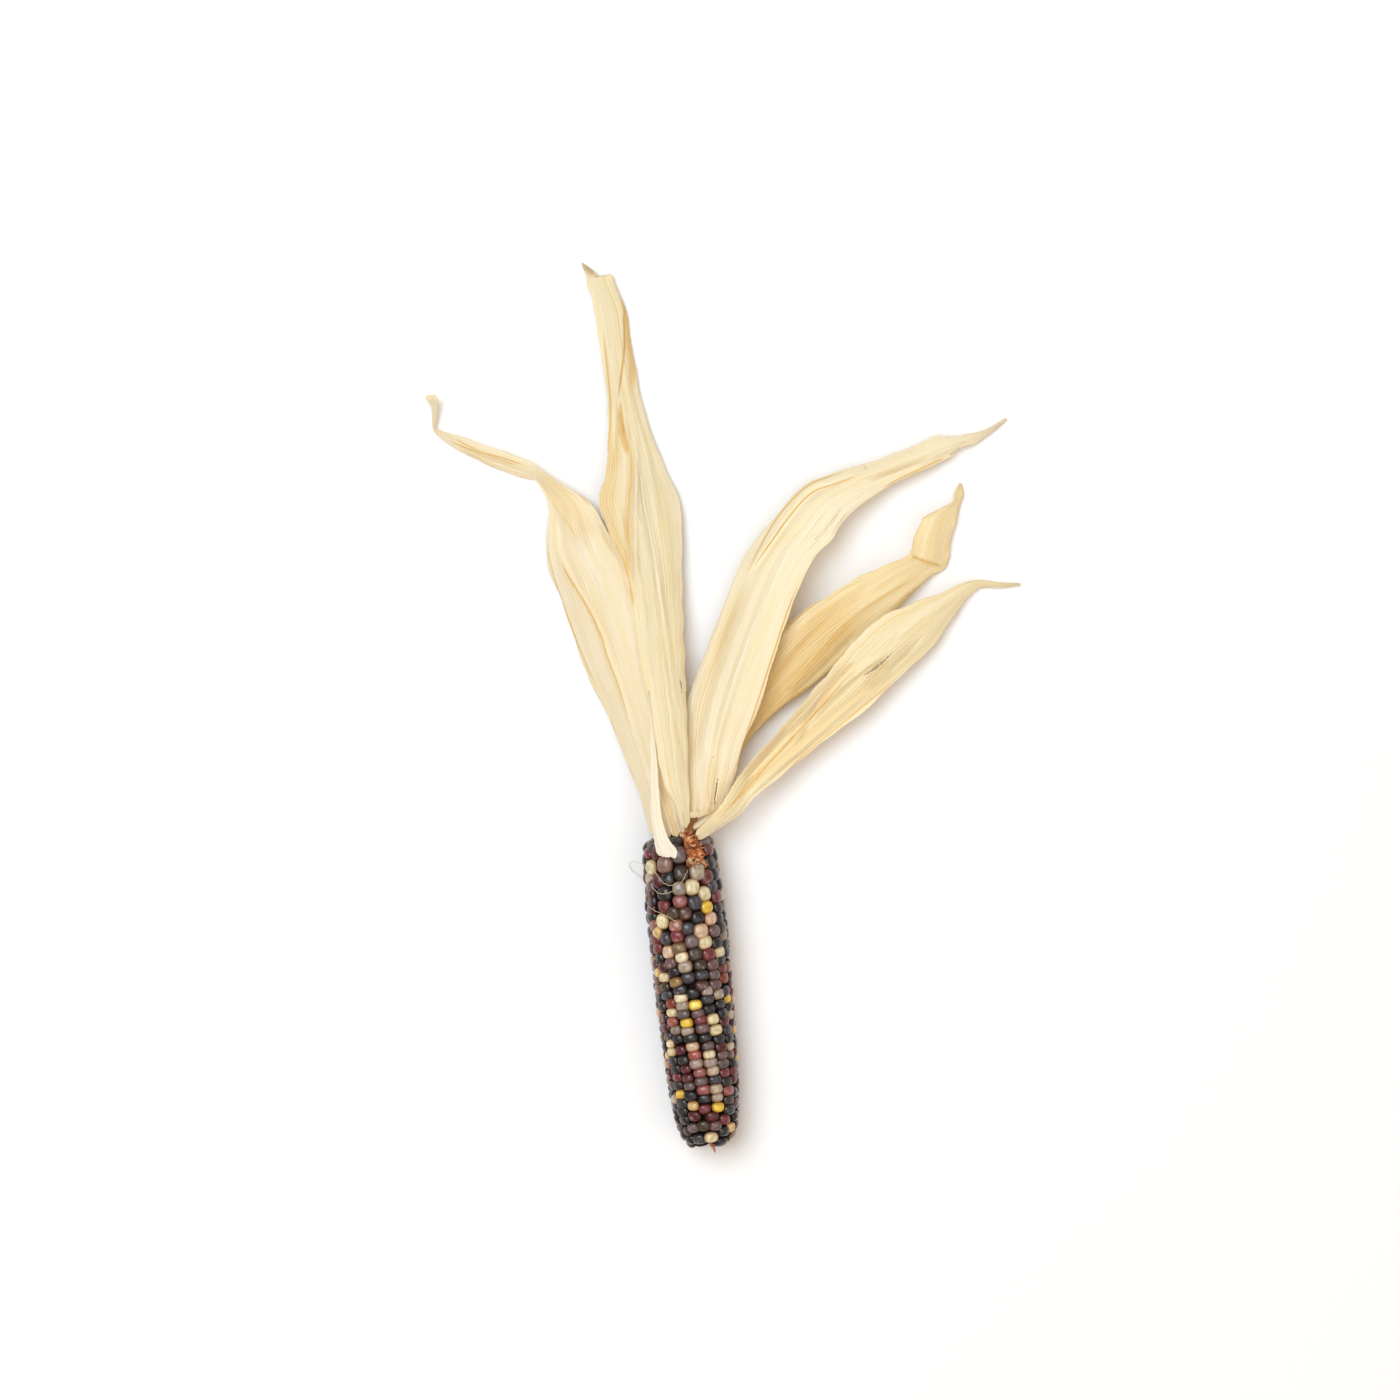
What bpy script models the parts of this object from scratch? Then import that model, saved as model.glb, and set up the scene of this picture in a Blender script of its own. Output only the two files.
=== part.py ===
"""A dried ornamental corn ear with its husk leaves pulled back, lying on a flat surface.

All sizes are in millimetres and are scaled to metres when a mesh is made. While the pieces are worked
out, the ear's axis is the Y axis: the stalk end of the kernels is at Y = 0, the tip is at -Y and the
husk leaves run to +Y. Heights are above the surface that the ear lies on. At the end everything moves
together, so that the origin is at the centre of the bottom of the object's box.
"""

import math
import random

import bmesh
import bpy
from mathutils import Vector

MM = 0.001

# The ear
EAR_LENGTH = 130.0
# Distance from the stalk end, and radius over the kernels
EAR_PROFILE = (
    (-2.0, 8.0), (0.0, 12.5), (3.0, 15.0), (20.0, 16.3), (45.0, 16.75),
    (80.0, 16.0), (105.0, 14.9), (117.0, 13.3), (125.0, 11.0), (131.0, 6.5),
)
AXIS_HEIGHT = 16.8
KERNEL_DEPTH = 6.0
CORE_SIDES = 20

# Kernel rows: they run straight near the stalk end and then wind slowly round the ear
ROWS = 16
WIND_START = 24.0
WIND_PER_MM = 0.68
FIRST_ROW_ANGLE = 13.7
LATE_ROWS = (1, 5, 9, 13)
EARLY_ROWS = (3, 7, 11, 15)
BARE_ROW = 2
LATE_ROWS_GROW = (16.0, 27.0)
EARLY_ROWS_SHRINK = (114.0, 124.0)
ROW_START = 0.4
ROW_END = 129.0
BARE_UNTIL = 12.0
LONG_PITCH = 5.5
SHORT_PITCH = 3.6
PITCH_CHANGE = (42.0, 64.0)
ROW_GAP = 0.28
SHOULDER_DROP = 1.3
VALLEY_DROP = 1.7
CHAFF_DROP = 2.4

# Leaves
LEAF_THICKNESS = 0.9
LEAF_COLUMNS = 4

# Each leaf is a list of stations from its base to its tip. A station gives the left edge and the right
# edge, seen with the base near and the tip far, as (x, y, height), and the crown between them.
HUSK_LEFT = (
    ((-11.2, 6.2, 13.0), (2.7, 1.4, 23.9), 4.0),
    ((-14.1, 18.8, 10.0), (1.3, 20.1, 20.5), 4.0),
    ((-18.4, 34.0, 6.0), (-0.2, 39.3, 19.0), 4.0),
    ((-24.3, 54.5, 3.0), (-2.0, 62.7, 17.0), 4.0),
    ((-30.0, 68.6, 1.5), (-3.1, 83.9, 14.5), 4.0),
    ((-34.0, 82.9, 0.8), (-4.7, 101.0, 12.5), 4.0),
    ((-38.9, 104.5, 0.8), (-8.2, 116.1, 10.5), 4.0),
    ((-42.8, 119.7, 1.5), (-13.2, 125.1, 9.0), 4.0),
    ((-42.5, 131.1, 2.5), (-17.0, 133.1, 8.5), 3.0),
    ((-40.2, 140.6, 3.0), (-20.7, 142.0, 8.5), 2.5),
    ((-40.4, 146.9, 2.5), (-26.0, 147.6, 8.0), 2.0),
    ((-42.0, 152.2, 2.0), (-34.6, 154.3, 8.5), 1.0),
    ((-44.9, 157.1, 1.5), (-42.7, 161.5, 7.5), 0.5),
    ((-47.0, 157.3, 1.2), (-45.4, 164.3, 7.0), 0.5),
    ((-56.3, 161.2, 1.2), (-55.5, 169.2, 5.5), 1.0),
    ((-66.3, 166.5, 1.0), (-65.5, 174.0, 4.5), 1.0),
    ((-74.2, 171.6, 1.0), (-73.5, 177.8, 3.5), 1.0),
    ((-81.2, 176.9, 1.2), (-80.8, 181.1, 3.0), 0.5),
    ((-85.3, 182.0, 2.0), (-84.4, 183.2, 2.8), 0.0),
    ((-85.4, 185.4, 2.8), (-83.7, 185.2, 3.4), 0.0),
    ((-85.2, 191.7, 5.0), (-82.2, 191.4, 5.0), 0.3),
    ((-86.9, 195.7, 8.0), (-81.9, 194.7, 8.0), 0.3),
    ((-85.9, 196.8, 8.6), (-82.6, 196.5, 8.6), 0.0),
)
HUSK_TALL = (
    ((2.1, 3.6, 25.6), (5.5, 4.5, 25.4), 0.3),
    ((0.2, 13.9, 25.6), (6.4, 12.8, 24.8), 0.6),
    ((-3.5, 23.6, 25.4), (7.1, 23.7, 23.0), 1.0),
    ((-4.9, 37.7, 24.2), (8.1, 37.2, 21.0), 1.5),
    ((-6.2, 53.8, 21.8), (9.3, 53.1, 18.0), 2.0),
    ((-7.9, 73.9, 18.8), (10.4, 72.0, 14.5), 2.5),
    ((-8.7, 95.1, 15.8), (11.8, 92.9, 11.0), 3.0),
    ((-10.7, 116.4, 13.0), (13.5, 113.9, 7.5), 3.0),
    ((-15.6, 130.4, 11.6), (15.1, 128.5, 5.5), 3.0),
    ((-18.6, 145.5, 10.0), (15.2, 141.6, 4.0), 3.0),
    ((-14.7, 155.2, 8.0), (11.7, 152.5, 3.0), 2.5),
    ((-12.3, 169.3, 5.0), (7.3, 167.3, 2.5), 2.0),
    ((-10.7, 185.2, 4.0), (3.9, 183.7, 2.0), 2.0),
    ((-11.0, 202.1, 3.5), (2.3, 200.7, 2.0), 1.5),
    ((-11.9, 217.8, 3.0), (1.4, 216.5, 2.0), 1.0),
    ((-12.5, 228.5, 2.5), (0.8, 226.2, 2.0), 0.8),
    ((-13.9, 235.8, 2.0), (-3.0, 234.7, 2.0), 0.6),
    ((-15.0, 241.4, 1.5), (-6.8, 238.4, 2.0), 0.3),
    ((-15.7, 246.5, 1.2), (-14.5, 246.0, 1.2), 0.0),
)
HUSK_STRIP = (
    ((-6.0, 58.9, 24.0), (-5.2, 58.8, 24.4), 0.0),
    ((-7.1, 47.2, 24.6), (-6.0, 47.1, 25.0), 0.2),
    ((-8.1, 35.9, 25.4), (-5.3, 36.8, 26.4), 0.4),
    ((-9.4, 23.4, 26.6), (-5.6, 23.0, 27.6), 0.6),
    ((-10.0, 13.7, 28.0), (-5.8, 13.3, 29.0), 0.6),
    ((-10.0, 5.3, 30.0), (-5.0, 5.2, 31.4), 0.8),
    ((-9.8, -0.7, 31.2), (-3.1, -0.9, 33.0), 1.0),
    ((-9.0, -5.0, 31.6), (-0.9, -5.0, 33.6), 1.0),
    ((-7.9, -6.8, 31.6), (-1.7, -8.3, 33.8), 0.8),
)
HUSK_UPPER_RIGHT = (
    ((6.2, 10.8, 22.4), (19.3, 10.7, 14.0), 2.0),
    ((6.5, 25.9, 17.0), (26.0, 22.6, 16.0), 2.0),
    ((7.2, 40.6, 13.5), (31.2, 36.4, 18.0), 2.0),
    ((9.6, 56.0, 11.0), (39.5, 50.8, 20.0), 2.5),
    ((17.3, 72.5, 9.0), (46.2, 67.0, 21.0), 3.0),
    ((25.1, 87.3, 8.0), (54.0, 84.3, 21.5), 3.0),
    ((32.6, 102.2, 7.5), (61.4, 99.2, 21.0), 3.5),
    ((41.3, 116.9, 7.5), (69.4, 111.4, 20.0), 4.0),
    ((52.2, 128.0, 7.5), (77.8, 118.6, 18.0), 4.0),
    ((67.1, 141.6, 7.0), (83.6, 126.0, 15.5), 3.5),
    ((80.2, 146.2, 6.0), (95.0, 133.7, 12.5), 3.0),
    ((95.8, 149.2, 5.0), (107.0, 139.6, 9.5), 2.5),
    ((111.8, 153.0, 4.0), (119.7, 143.8, 7.0), 2.0),
    ((127.1, 157.8, 3.0), (131.5, 148.0, 4.5), 1.5),
    ((138.8, 157.0, 2.5), (141.2, 152.1, 3.0), 0.8),
    ((148.2, 158.5, 2.0), (149.7, 156.7, 2.0), 0.3),
    ((156.4, 162.4, 1.2), (157.0, 161.5, 1.2), 0.0),
)
HUSK_MIDDLE_RIGHT = (
    ((10.4, 9.0, 12.5), (15.0, 7.0, 9.0), 0.5),
    ((19.5, 33.0, 9.0), (26.1, 28.1, 8.0), 1.0),
    ((29.3, 50.2, 8.5), (39.1, 42.8, 8.0), 1.5),
    ((40.4, 67.6, 9.0), (52.7, 52.4, 8.5), 2.0),
    ((51.5, 80.8, 11.0), (63.5, 58.4, 8.5), 2.5),
    ((61.6, 89.0, 12.5), (74.5, 66.6, 8.0), 2.5),
    ((74.1, 95.3, 13.5), (85.6, 75.5, 7.5), 2.0),
    ((87.4, 101.5, 13.5), (97.8, 84.0, 7.0), 1.5),
    ((99.6, 105.3, 11.5), (108.4, 92.2, 6.0), 1.0),
    ((108.4, 108.2, 9.0), (117.5, 98.8, 4.0), 0.5),
    ((109.8, 109.7, 8.5), (124.6, 101.9, 2.0), 0.5),
    ((112.7, 117.0, 9.5), (127.8, 112.5, 3.0), 1.5),
    ((116.7, 123.4, 9.0), (130.8, 120.6, 2.5), 1.5),
    ((128.2, 128.5, 5.0), (133.6, 127.5, 2.0), 0.5),
    ((131.2, 132.4, 3.0), (135.4, 132.0, 1.5), 0.2),
    ((134.2, 136.8, 1.5), (135.0, 136.7, 1.2), 0.0),
)
HUSK_LOWER_RIGHT = (
    ((6.5, 1.4, 27.0), (9.1, -1.8, 28.2), 0.3),
    ((12.9, 6.3, 25.2), (16.2, 1.7, 22.5), 0.6),
    ((19.9, 12.7, 23.5), (26.0, 6.6, 18.0), 0.8),
    ((26.7, 21.7, 22.5), (33.9, 13.8, 16.0), -1.0),
    ((35.3, 30.5, 22.0), (43.0, 19.6, 15.0), -2.0),
    ((45.5, 39.6, 22.0), (54.4, 27.3, 14.5), -2.5),
    ((57.7, 51.0, 21.5), (68.8, 36.3, 14.0), -2.5),
    ((69.8, 62.4, 20.0), (84.1, 45.3, 13.0), -1.5),
    ((81.1, 73.5, 18.0), (99.7, 57.6, 11.0), 1.0),
    ((93.9, 83.1, 15.5), (113.4, 67.6, 8.5), 2.0),
    ((107.1, 87.7, 12.5), (121.5, 76.0, 6.5), 2.5),
    ((120.1, 90.9, 9.0), (128.7, 84.6, 4.5), 2.0),
    ((131.0, 94.5, 5.5), (136.6, 91.3, 3.0), 1.0),
    ((138.2, 95.0, 3.5), (140.5, 91.8, 2.2), 0.5),
    ((146.9, 93.2, 2.0), (146.7, 90.7, 1.5), 0.2),
    ((155.2, 91.9, 1.2), (155.6, 91.0, 1.2), 0.0),
)
# The tear in the lower right leaf: a long narrow gap, given by its two ends in plan and its half width
TEAR_ENDS = ((84.0, 55.5), (97.5, 64.0))
TEAR_HALF_WIDTH = 1.8

# Shank: centre line and radius
SHANK = (
    ((1.6, 2.3, 16.8), 6.2),
    ((2.6, 5.0, 16.8), 5.6),
    ((4.6, 11.0, 16.6), 4.5),
    ((5.2, 13.0, 16.5), 3.8),
)
SHANK_SIDES = 12

# Scraps of leaf base: a flat flake and a rolled flake
FLAKE = (
    ((5.8, 10.2, 24.0), (8.2, 10.4, 23.4), 0.1),
    ((5.8, 8.6, 23.8), (9.0, 8.2, 23.2), 0.1),
)
FLAKE_THICKNESS = 0.4
ROLL = (
    ((7.4, 3.6, 23.2), 0.5),
    ((9.0, 4.6, 23.0), 1.3),
    ((12.5, 6.6, 21.8), 1.3),
    ((17.0, 8.6, 19.6), 0.6),
)
ROLL_SIDES = 8

# Silks: points in plan, laid over the kernels, and one that falls to the surface beside the ear
SILK_RADIUS = 0.25
SILK_LIFT = 0.75
SILKS_ON_EAR = (
    ((-12.2, -10.1), (-10.3, -13.7), (-7.7, -17.4), (-5.6, -18.6), (-3.4, -18.6), (-1.4, -17.4)),
    ((-13.2, -17.2), (-11.8, -20.3), (-9.0, -21.9), (-6.5, -21.7), (-3.4, -20.7), (1.4, -15.6), (2.9, -12.8)),
    ((-15.6, -26.6), (-12.7, -28.7), (-8.7, -30.8), (-5.9, -32.7), (-3.2, -34.3)),
)
SILK_BESIDE_EAR = (
    (-15.6, -2.0, 26.0), (-18.4, -4.6, 17.0), (-21.0, -7.1, 7.0),
    (-24.9, -11.8, 1.2), (-24.0, -15.0, 0.8), (-20.4, -18.6, 1.6), (-19.2, -20.9, 4.0),
)
SILK_STEPS = 2

# The dry end of the cob at the tip
TIP_SPIKE = (
    ((0.5, -127.8, 17.0), 0.9),
    ((1.2, -130.0, 18.0), 0.8),
    ((1.9, -132.6, 19.5), 0.25),
)
TIP_SPIKE_SIDES = 6


def clear_scene():
    for item in list(bpy.data.objects):
        bpy.data.objects.remove(item, do_unlink=True)


def plain_material(name, colour, roughness):
    material = bpy.data.materials.new(name)
    material.use_nodes = True
    shader = material.node_tree.nodes["Principled BSDF"]
    shader.inputs["Base Color"].default_value = (*colour, 1.0)
    shader.inputs["Roughness"].default_value = roughness
    shader.inputs["Metallic"].default_value = 0.0
    return material


def new_object(name, vertices, faces, material):
    """A mesh object from points in millimetres."""
    mesh = bpy.data.meshes.new(name)
    mesh.from_pydata([tuple(value * MM for value in point) for point in vertices], [], faces)
    shape = bmesh.new()
    shape.from_mesh(mesh)
    bmesh.ops.recalc_face_normals(shape, faces=shape.faces)
    shape.to_mesh(mesh)
    shape.free()
    mesh.materials.append(material)
    item = bpy.data.objects.new(name, mesh)
    bpy.context.scene.collection.objects.link(item)
    return item


def loft(name, rings, material):
    """A closed solid through rings of the same number of points, with a flat fan at each end."""
    count = len(rings[0])
    vertices = [point for ring in rings for point in ring]
    faces = []
    for ring in range(len(rings) - 1):
        for side in range(count):
            after = (side + 1) % count
            low = ring * count
            high = low + count
            faces.append((low + side, low + after, high + after, high + side))
    for start in (0, (len(rings) - 1) * count):
        faces.append(tuple(range(start, start + count)))
    return new_object(name, vertices, faces, material)


def smooth_step(low, high, value):
    part = min(1.0, max(0.0, (value - low) / (high - low)))
    return part * part * (3.0 - 2.0 * part)


def curve_value(stations, place):
    """A smooth curve through (place, value) stations, straight on beyond its ends."""
    last = len(stations) - 1
    index = 0
    while index < last - 1 and place > stations[index + 1][0]:
        index += 1
    before = stations[max(index - 1, 0)]
    low = stations[index]
    high = stations[index + 1]
    after = stations[min(index + 2, last)]
    span = high[0] - low[0]
    part = min(1.0, max(0.0, (place - low[0]) / span))
    low_slope = (high[1] - before[1]) / (high[0] - before[0]) * span
    high_slope = (after[1] - low[1]) / (after[0] - low[0]) * span
    square = part * part
    cube = square * part
    return (
        (2 * cube - 3 * square + 1) * low[1] + (cube - 2 * square + part) * low_slope
        + (3 * square - 2 * cube) * high[1] + (cube - square) * high_slope
    )


def ear_radius(distance):
    return curve_value(EAR_PROFILE, distance)


def on_ear(angle, distance, radius):
    """A point round the ear's axis: the angle in degrees goes from straight up towards +X."""
    turn = math.radians(angle)
    return (radius * math.sin(turn), -distance, AXIS_HEIGHT + radius * math.cos(turn))


def row_share(row, distance):
    """How much of a full row's width this row has here."""
    if row in LATE_ROWS:
        return smooth_step(*LATE_ROWS_GROW, distance)
    if row in EARLY_ROWS:
        return 1.0 - smooth_step(*EARLY_ROWS_SHRINK, distance)
    return 1.0


def row_span(row, distance):
    """The centre and the half width of a row, in degrees."""
    shares = [row_share(index, distance) for index in range(1, ROWS + 1)]
    unit = 360.0 / sum(shares)
    start = FIRST_ROW_ANGLE + WIND_PER_MM * max(0.0, distance - WIND_START) - shares[0] * unit / 2
    for index in range(1, row):
        start += shares[index - 1] * unit
    width = shares[row - 1] * unit
    return start + width / 2, width / 2


def core_radius(distance):
    return max(2.0, ear_radius(distance) - KERNEL_DEPTH)


def strip_ring(row, distance, drop):
    """The wedge section of a row: a foot at the cob, two shoulders and a crown."""
    centre, half = row_span(row, distance)
    radius = ear_radius(distance) - drop
    half -= math.degrees(ROW_GAP / radius)
    foot = core_radius(distance) + 0.4
    shoulder = max(foot + 0.4, radius - SHOULDER_DROP)
    return [
        on_ear(centre, distance, foot),
        on_ear(centre - half, distance, shoulder),
        on_ear(centre, distance, radius),
        on_ear(centre + half, distance, shoulder),
    ]


def row_limits(row):
    start = ROW_START
    end = ROW_END
    if row in LATE_ROWS:
        start = (LATE_ROWS_GROW[0] + LATE_ROWS_GROW[1]) / 2
    if row in EARLY_ROWS:
        end = (EARLY_ROWS_SHRINK[0] + EARLY_ROWS_SHRINK[1]) / 2
    if row == BARE_ROW:
        start = BARE_UNTIL
    return start, end


def make_core(material):
    rings = []
    for distance in (-1.6, 0.0, 3.0, 12.0, 30.0, 60.0, 90.0, 110.0, 120.0, 127.4):
        radius = core_radius(distance)
        rings.append([on_ear(360.0 * side / CORE_SIDES, distance, radius) for side in range(CORE_SIDES)])
    loft("cob_core", rings, material)


def make_row(row, material, draw):
    """One row of kernels as one solid: a valley between kernels, and a crown on each."""
    start, end = row_limits(row)
    rings = [strip_ring(row, start, VALLEY_DROP)]
    place = start
    while True:
        pitch = LONG_PITCH + (SHORT_PITCH - LONG_PITCH) * smooth_step(*PITCH_CHANGE, place)
        pitch *= draw.uniform(0.93, 1.07)
        after = place + pitch
        if after > end:
            break
        rings.append(strip_ring(row, (place + after) / 2, 0.0))
        rings.append(strip_ring(row, after, VALLEY_DROP))
        place = after
    loft(f"kernel_row_{row:02d}", rings, material)


def make_chaff(material):
    rings = [strip_ring(BARE_ROW, distance, CHAFF_DROP) for distance in (-1.2, 0.6, 3.5, 7.5, BARE_UNTIL - 0.4)]
    loft("chaff_patch", rings, material)


def tube(name, path, sides, material):
    """A round solid along a list of ((x, y, height), radius)."""
    rings = []
    for index, (centre, radius) in enumerate(path):
        middle = Vector(centre)
        along = Vector(path[min(index + 1, len(path) - 1)][0]) - Vector(path[max(index - 1, 0)][0])
        along.normalize()
        side = along.cross(Vector((0.0, 0.0, 1.0))).normalized()
        up = side.cross(along)
        ring = []
        for step in range(sides):
            turn = 2 * math.pi * step / sides
            ring.append(tuple(middle + radius * (math.cos(turn) * side + math.sin(turn) * up)))
        rings.append(ring)
    loft(name, rings, material)


def leaf_grid(stations, columns):
    rows = []
    for left, right, crown in stations:
        row = []
        for column in range(columns + 1):
            part = column / columns
            point = Vector(left).lerp(Vector(right), part)
            point.z += crown * 4 * part * (1 - part)
            row.append(point)
        rows.append(row)
    return rows


def make_leaf(name, stations, material, thickness=LEAF_THICKNESS, columns=LEAF_COLUMNS):
    """A leaf as a closed sheet, with the same thickness everywhere when it is measured straight up."""
    grid = leaf_grid(stations, columns)
    lift = Vector((0.0, 0.0, thickness / 2))
    rings = []
    for row in grid:
        top = [point + lift for point in row]
        bottom = [point - lift for point in reversed(row)]
        rings.append([tuple(point) for point in top + bottom])
    return loft(name, rings, material)


def cut_tear(leaf):
    """A long narrow gap torn through the leaf."""
    start = Vector((*TEAR_ENDS[0], 0.0))
    end = Vector((*TEAR_ENDS[1], 0.0))
    along = (end - start).normalized()
    side = Vector((-along.y, along.x, 0.0)) * TEAR_HALF_WIDTH
    middle = start.lerp(end, 0.45)
    outline = [start, middle - side, end, middle + side]
    rings = [[(point.x, point.y, height) for point in outline] for height in (-5.0, 40.0)]
    cutter = loft("tear_cutter", rings, leaf.data.materials[0])
    cutter.hide_render = True
    cutter.display_type = "WIRE"
    cut = leaf.modifiers.new("tear", "BOOLEAN")
    cut.operation = "DIFFERENCE"
    cut.solver = "EXACT"
    cut.object = cutter


def smooth_path(points, steps):
    """More points on the same smooth curve."""
    result = []
    for index in range(len(points) - 1):
        before = Vector(points[max(index - 1, 0)])
        low = Vector(points[index])
        high = Vector(points[index + 1])
        after = Vector(points[min(index + 2, len(points) - 1)])
        for step in range(steps):
            part = step / steps
            result.append(
                0.5 * (2 * low + (high - before) * part + (2 * before - 5 * low + 4 * high - after) * part ** 2
                       + (3 * low - before - 3 * high + after) * part ** 3)
            )
    result.append(Vector(points[-1]))
    return result


def lay_on_ear(points):
    """Points in plan become points just over the kernels."""
    laid = []
    for point in points:
        reach = ear_radius(-point.y) + SILK_LIFT
        laid.append((point.x, point.y, AXIS_HEIGHT + math.sqrt(max(reach * reach - point.x * point.x, 1.0))))
    return laid


def make_silks(material):
    paths = []
    for points in SILKS_ON_EAR:
        plan = smooth_path([(x, y, 0.0) for x, y in points], SILK_STEPS)
        paths.append(lay_on_ear(plan))
    paths.append([tuple(point) for point in smooth_path(SILK_BESIDE_EAR, SILK_STEPS)])
    for number, path in enumerate(paths, 1):
        tube(f"silk_{number}", [(point, SILK_RADIUS) for point in path], 6, material)


def stand_on_origin():
    """Move every piece together, so that the origin is at the centre of the bottom of the box."""
    bpy.context.view_layer.update()
    items = [item for item in bpy.data.objects if item.type == "MESH" and not item.hide_render]
    corners = [item.matrix_world @ vertex.co for item in items for vertex in item.data.vertices]
    low = [min(corner[axis] for corner in corners) for axis in range(3)]
    high = [max(corner[axis] for corner in corners) for axis in range(3)]
    shift = Vector((-(low[0] + high[0]) / 2, -(low[1] + high[1]) / 2, -low[2]))
    for item in bpy.data.objects:
        item.location += shift


def build():
    clear_scene()
    draw = random.Random(20)
    cob = plain_material("cob", (0.50, 0.22, 0.09), 0.9)
    chaff = plain_material("chaff", (0.48, 0.14, 0.05), 0.9)
    kernel_colours = (
        (0.05, 0.055, 0.07), (0.20, 0.05, 0.07), (0.16, 0.13, 0.15), (0.62, 0.50, 0.28),
        (0.06, 0.06, 0.05), (0.42, 0.24, 0.20), (0.07, 0.075, 0.09), (0.75, 0.45, 0.06),
    )
    husk = plain_material("husk", (0.80, 0.66, 0.40), 0.7)
    silk = plain_material("silk", (0.62, 0.52, 0.34), 0.6)

    make_core(cob)
    make_chaff(chaff)
    for row in range(1, ROWS + 1):
        colour = kernel_colours[row % len(kernel_colours)]
        make_row(row, plain_material(f"kernel_{row:02d}", colour, 0.35), draw)

    tube("shank", SHANK, SHANK_SIDES, cob)
    tube("tip_spike", TIP_SPIKE, TIP_SPIKE_SIDES, chaff)
    make_leaf("husk_left", HUSK_LEFT, husk)
    make_leaf("husk_tall", HUSK_TALL, husk)
    make_leaf("husk_strip", HUSK_STRIP, husk)
    make_leaf("husk_upper_right", HUSK_UPPER_RIGHT, husk)
    make_leaf("husk_middle_right", HUSK_MIDDLE_RIGHT, husk)
    cut_tear(make_leaf("husk_lower_right", HUSK_LOWER_RIGHT, husk))
    make_leaf("husk_flake", FLAKE, husk, FLAKE_THICKNESS, 2)
    tube("husk_roll", ROLL, ROLL_SIDES, husk)
    make_silks(silk)
    stand_on_origin()


build()
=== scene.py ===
import math
import random

import bpy
import numpy as np
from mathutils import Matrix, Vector


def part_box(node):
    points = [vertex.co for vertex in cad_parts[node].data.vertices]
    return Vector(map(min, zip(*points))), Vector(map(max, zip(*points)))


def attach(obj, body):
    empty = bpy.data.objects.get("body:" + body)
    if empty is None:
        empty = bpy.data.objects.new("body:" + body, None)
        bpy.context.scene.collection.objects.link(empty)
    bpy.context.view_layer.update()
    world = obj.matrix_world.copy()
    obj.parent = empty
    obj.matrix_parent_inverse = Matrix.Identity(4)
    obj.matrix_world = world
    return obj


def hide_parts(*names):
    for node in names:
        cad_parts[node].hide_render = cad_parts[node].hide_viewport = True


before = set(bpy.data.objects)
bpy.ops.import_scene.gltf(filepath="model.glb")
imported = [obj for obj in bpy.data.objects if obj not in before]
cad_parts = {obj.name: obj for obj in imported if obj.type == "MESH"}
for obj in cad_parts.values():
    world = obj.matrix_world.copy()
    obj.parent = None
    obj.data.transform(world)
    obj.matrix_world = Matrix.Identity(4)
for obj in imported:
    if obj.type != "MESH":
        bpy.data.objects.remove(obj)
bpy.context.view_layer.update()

# ---------------------------------------------------------------------------------------------------
# Cob. The woody core that the kernels sit in: dry, rough and orange brown, with a row of shallow cups
# for each row of kernels. It grew as one piece, and it shows only between kernels and at the ends, where its
# colour is darkened to brown black as painted shade for the deep grooves.

MM = 0.001
AXIS_HEIGHT = 16.8
COB_PAST_STALK_END = 1.6
core_low, core_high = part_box("cob_core")
# The point on the surface below the stalk end of the kernels. Points are worked out in millimetres from
# there: Y runs towards the husk leaves, and heights are above the surface that the ear lies on.
ORIGIN = np.array((
    (core_low.x + core_high.x) / 2,
    core_high.y - COB_PAST_STALK_END * MM,
    (core_low.z + core_high.z) / 2 - AXIS_HEIGHT * MM,
))

# Distance from the stalk end, and radius over the kernels
EAR_PROFILE = (
    (-2.0, 8.0), (0.0, 12.5), (3.0, 15.0), (20.0, 16.3), (45.0, 16.75), (80.0, 16.0),
    (105.0, 14.9), (117.0, 13.3), (125.0, 11.0), (131.0, 6.5), (133.0, 3.0),
)
KERNEL_DEPTH = 6.0
COB_SIDES = 96
COB_END = 127.6
COB_END_RINGS = 6
COB_CUPS = 16
CUP_LENGTH = 3.8
CUP_DEPTH = 0.3
COB_ROUGHNESS = 0.25


def smooth_step(low, high, value):
    part = np.clip((value - low) / (high - low), 0.0, 1.0)
    return part * part * (3.0 - 2.0 * part)


def curve_rows(stations, places):
    """A smooth curve through stations of (place, value, value...), read at many places."""
    stations = np.asarray(stations, float)
    places = np.atleast_1d(places)
    last = len(stations) - 1
    index = np.clip(np.searchsorted(stations[:, 0], places) - 1, 0, last - 1)
    before = stations[np.maximum(index - 1, 0)]
    low = stations[index]
    high = stations[index + 1]
    after = stations[np.minimum(index + 2, last)]
    span = high[:, :1] - low[:, :1]
    part = np.clip((places[:, None] - low[:, :1]) / span, 0.0, 1.0)
    low_slope = (high - before) / (high[:, :1] - before[:, :1]) * span
    high_slope = (after - low) / (after[:, :1] - low[:, :1]) * span
    square = part * part
    cube = square * part
    rows = (
        (2 * cube - 3 * square + 1) * low + (cube - 2 * square + part) * low_slope
        + (3 * square - 2 * cube) * high + (cube - square) * high_slope
    )
    return rows[:, 1:]


def ear_radius(distance):
    return curve_rows(EAR_PROFILE, distance)[:, 0]


def radius_at(distance):
    return float(ear_radius(distance)[0])


def on_ear(angle, distance, radius):
    """Points round the ear's axis: the angle in degrees goes from straight up towards +X."""
    turn = np.radians(angle)
    return np.stack(np.broadcast_arrays(
        radius * np.sin(turn), -distance, AXIS_HEIGHT + radius * np.cos(turn)), axis=-1)


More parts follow.
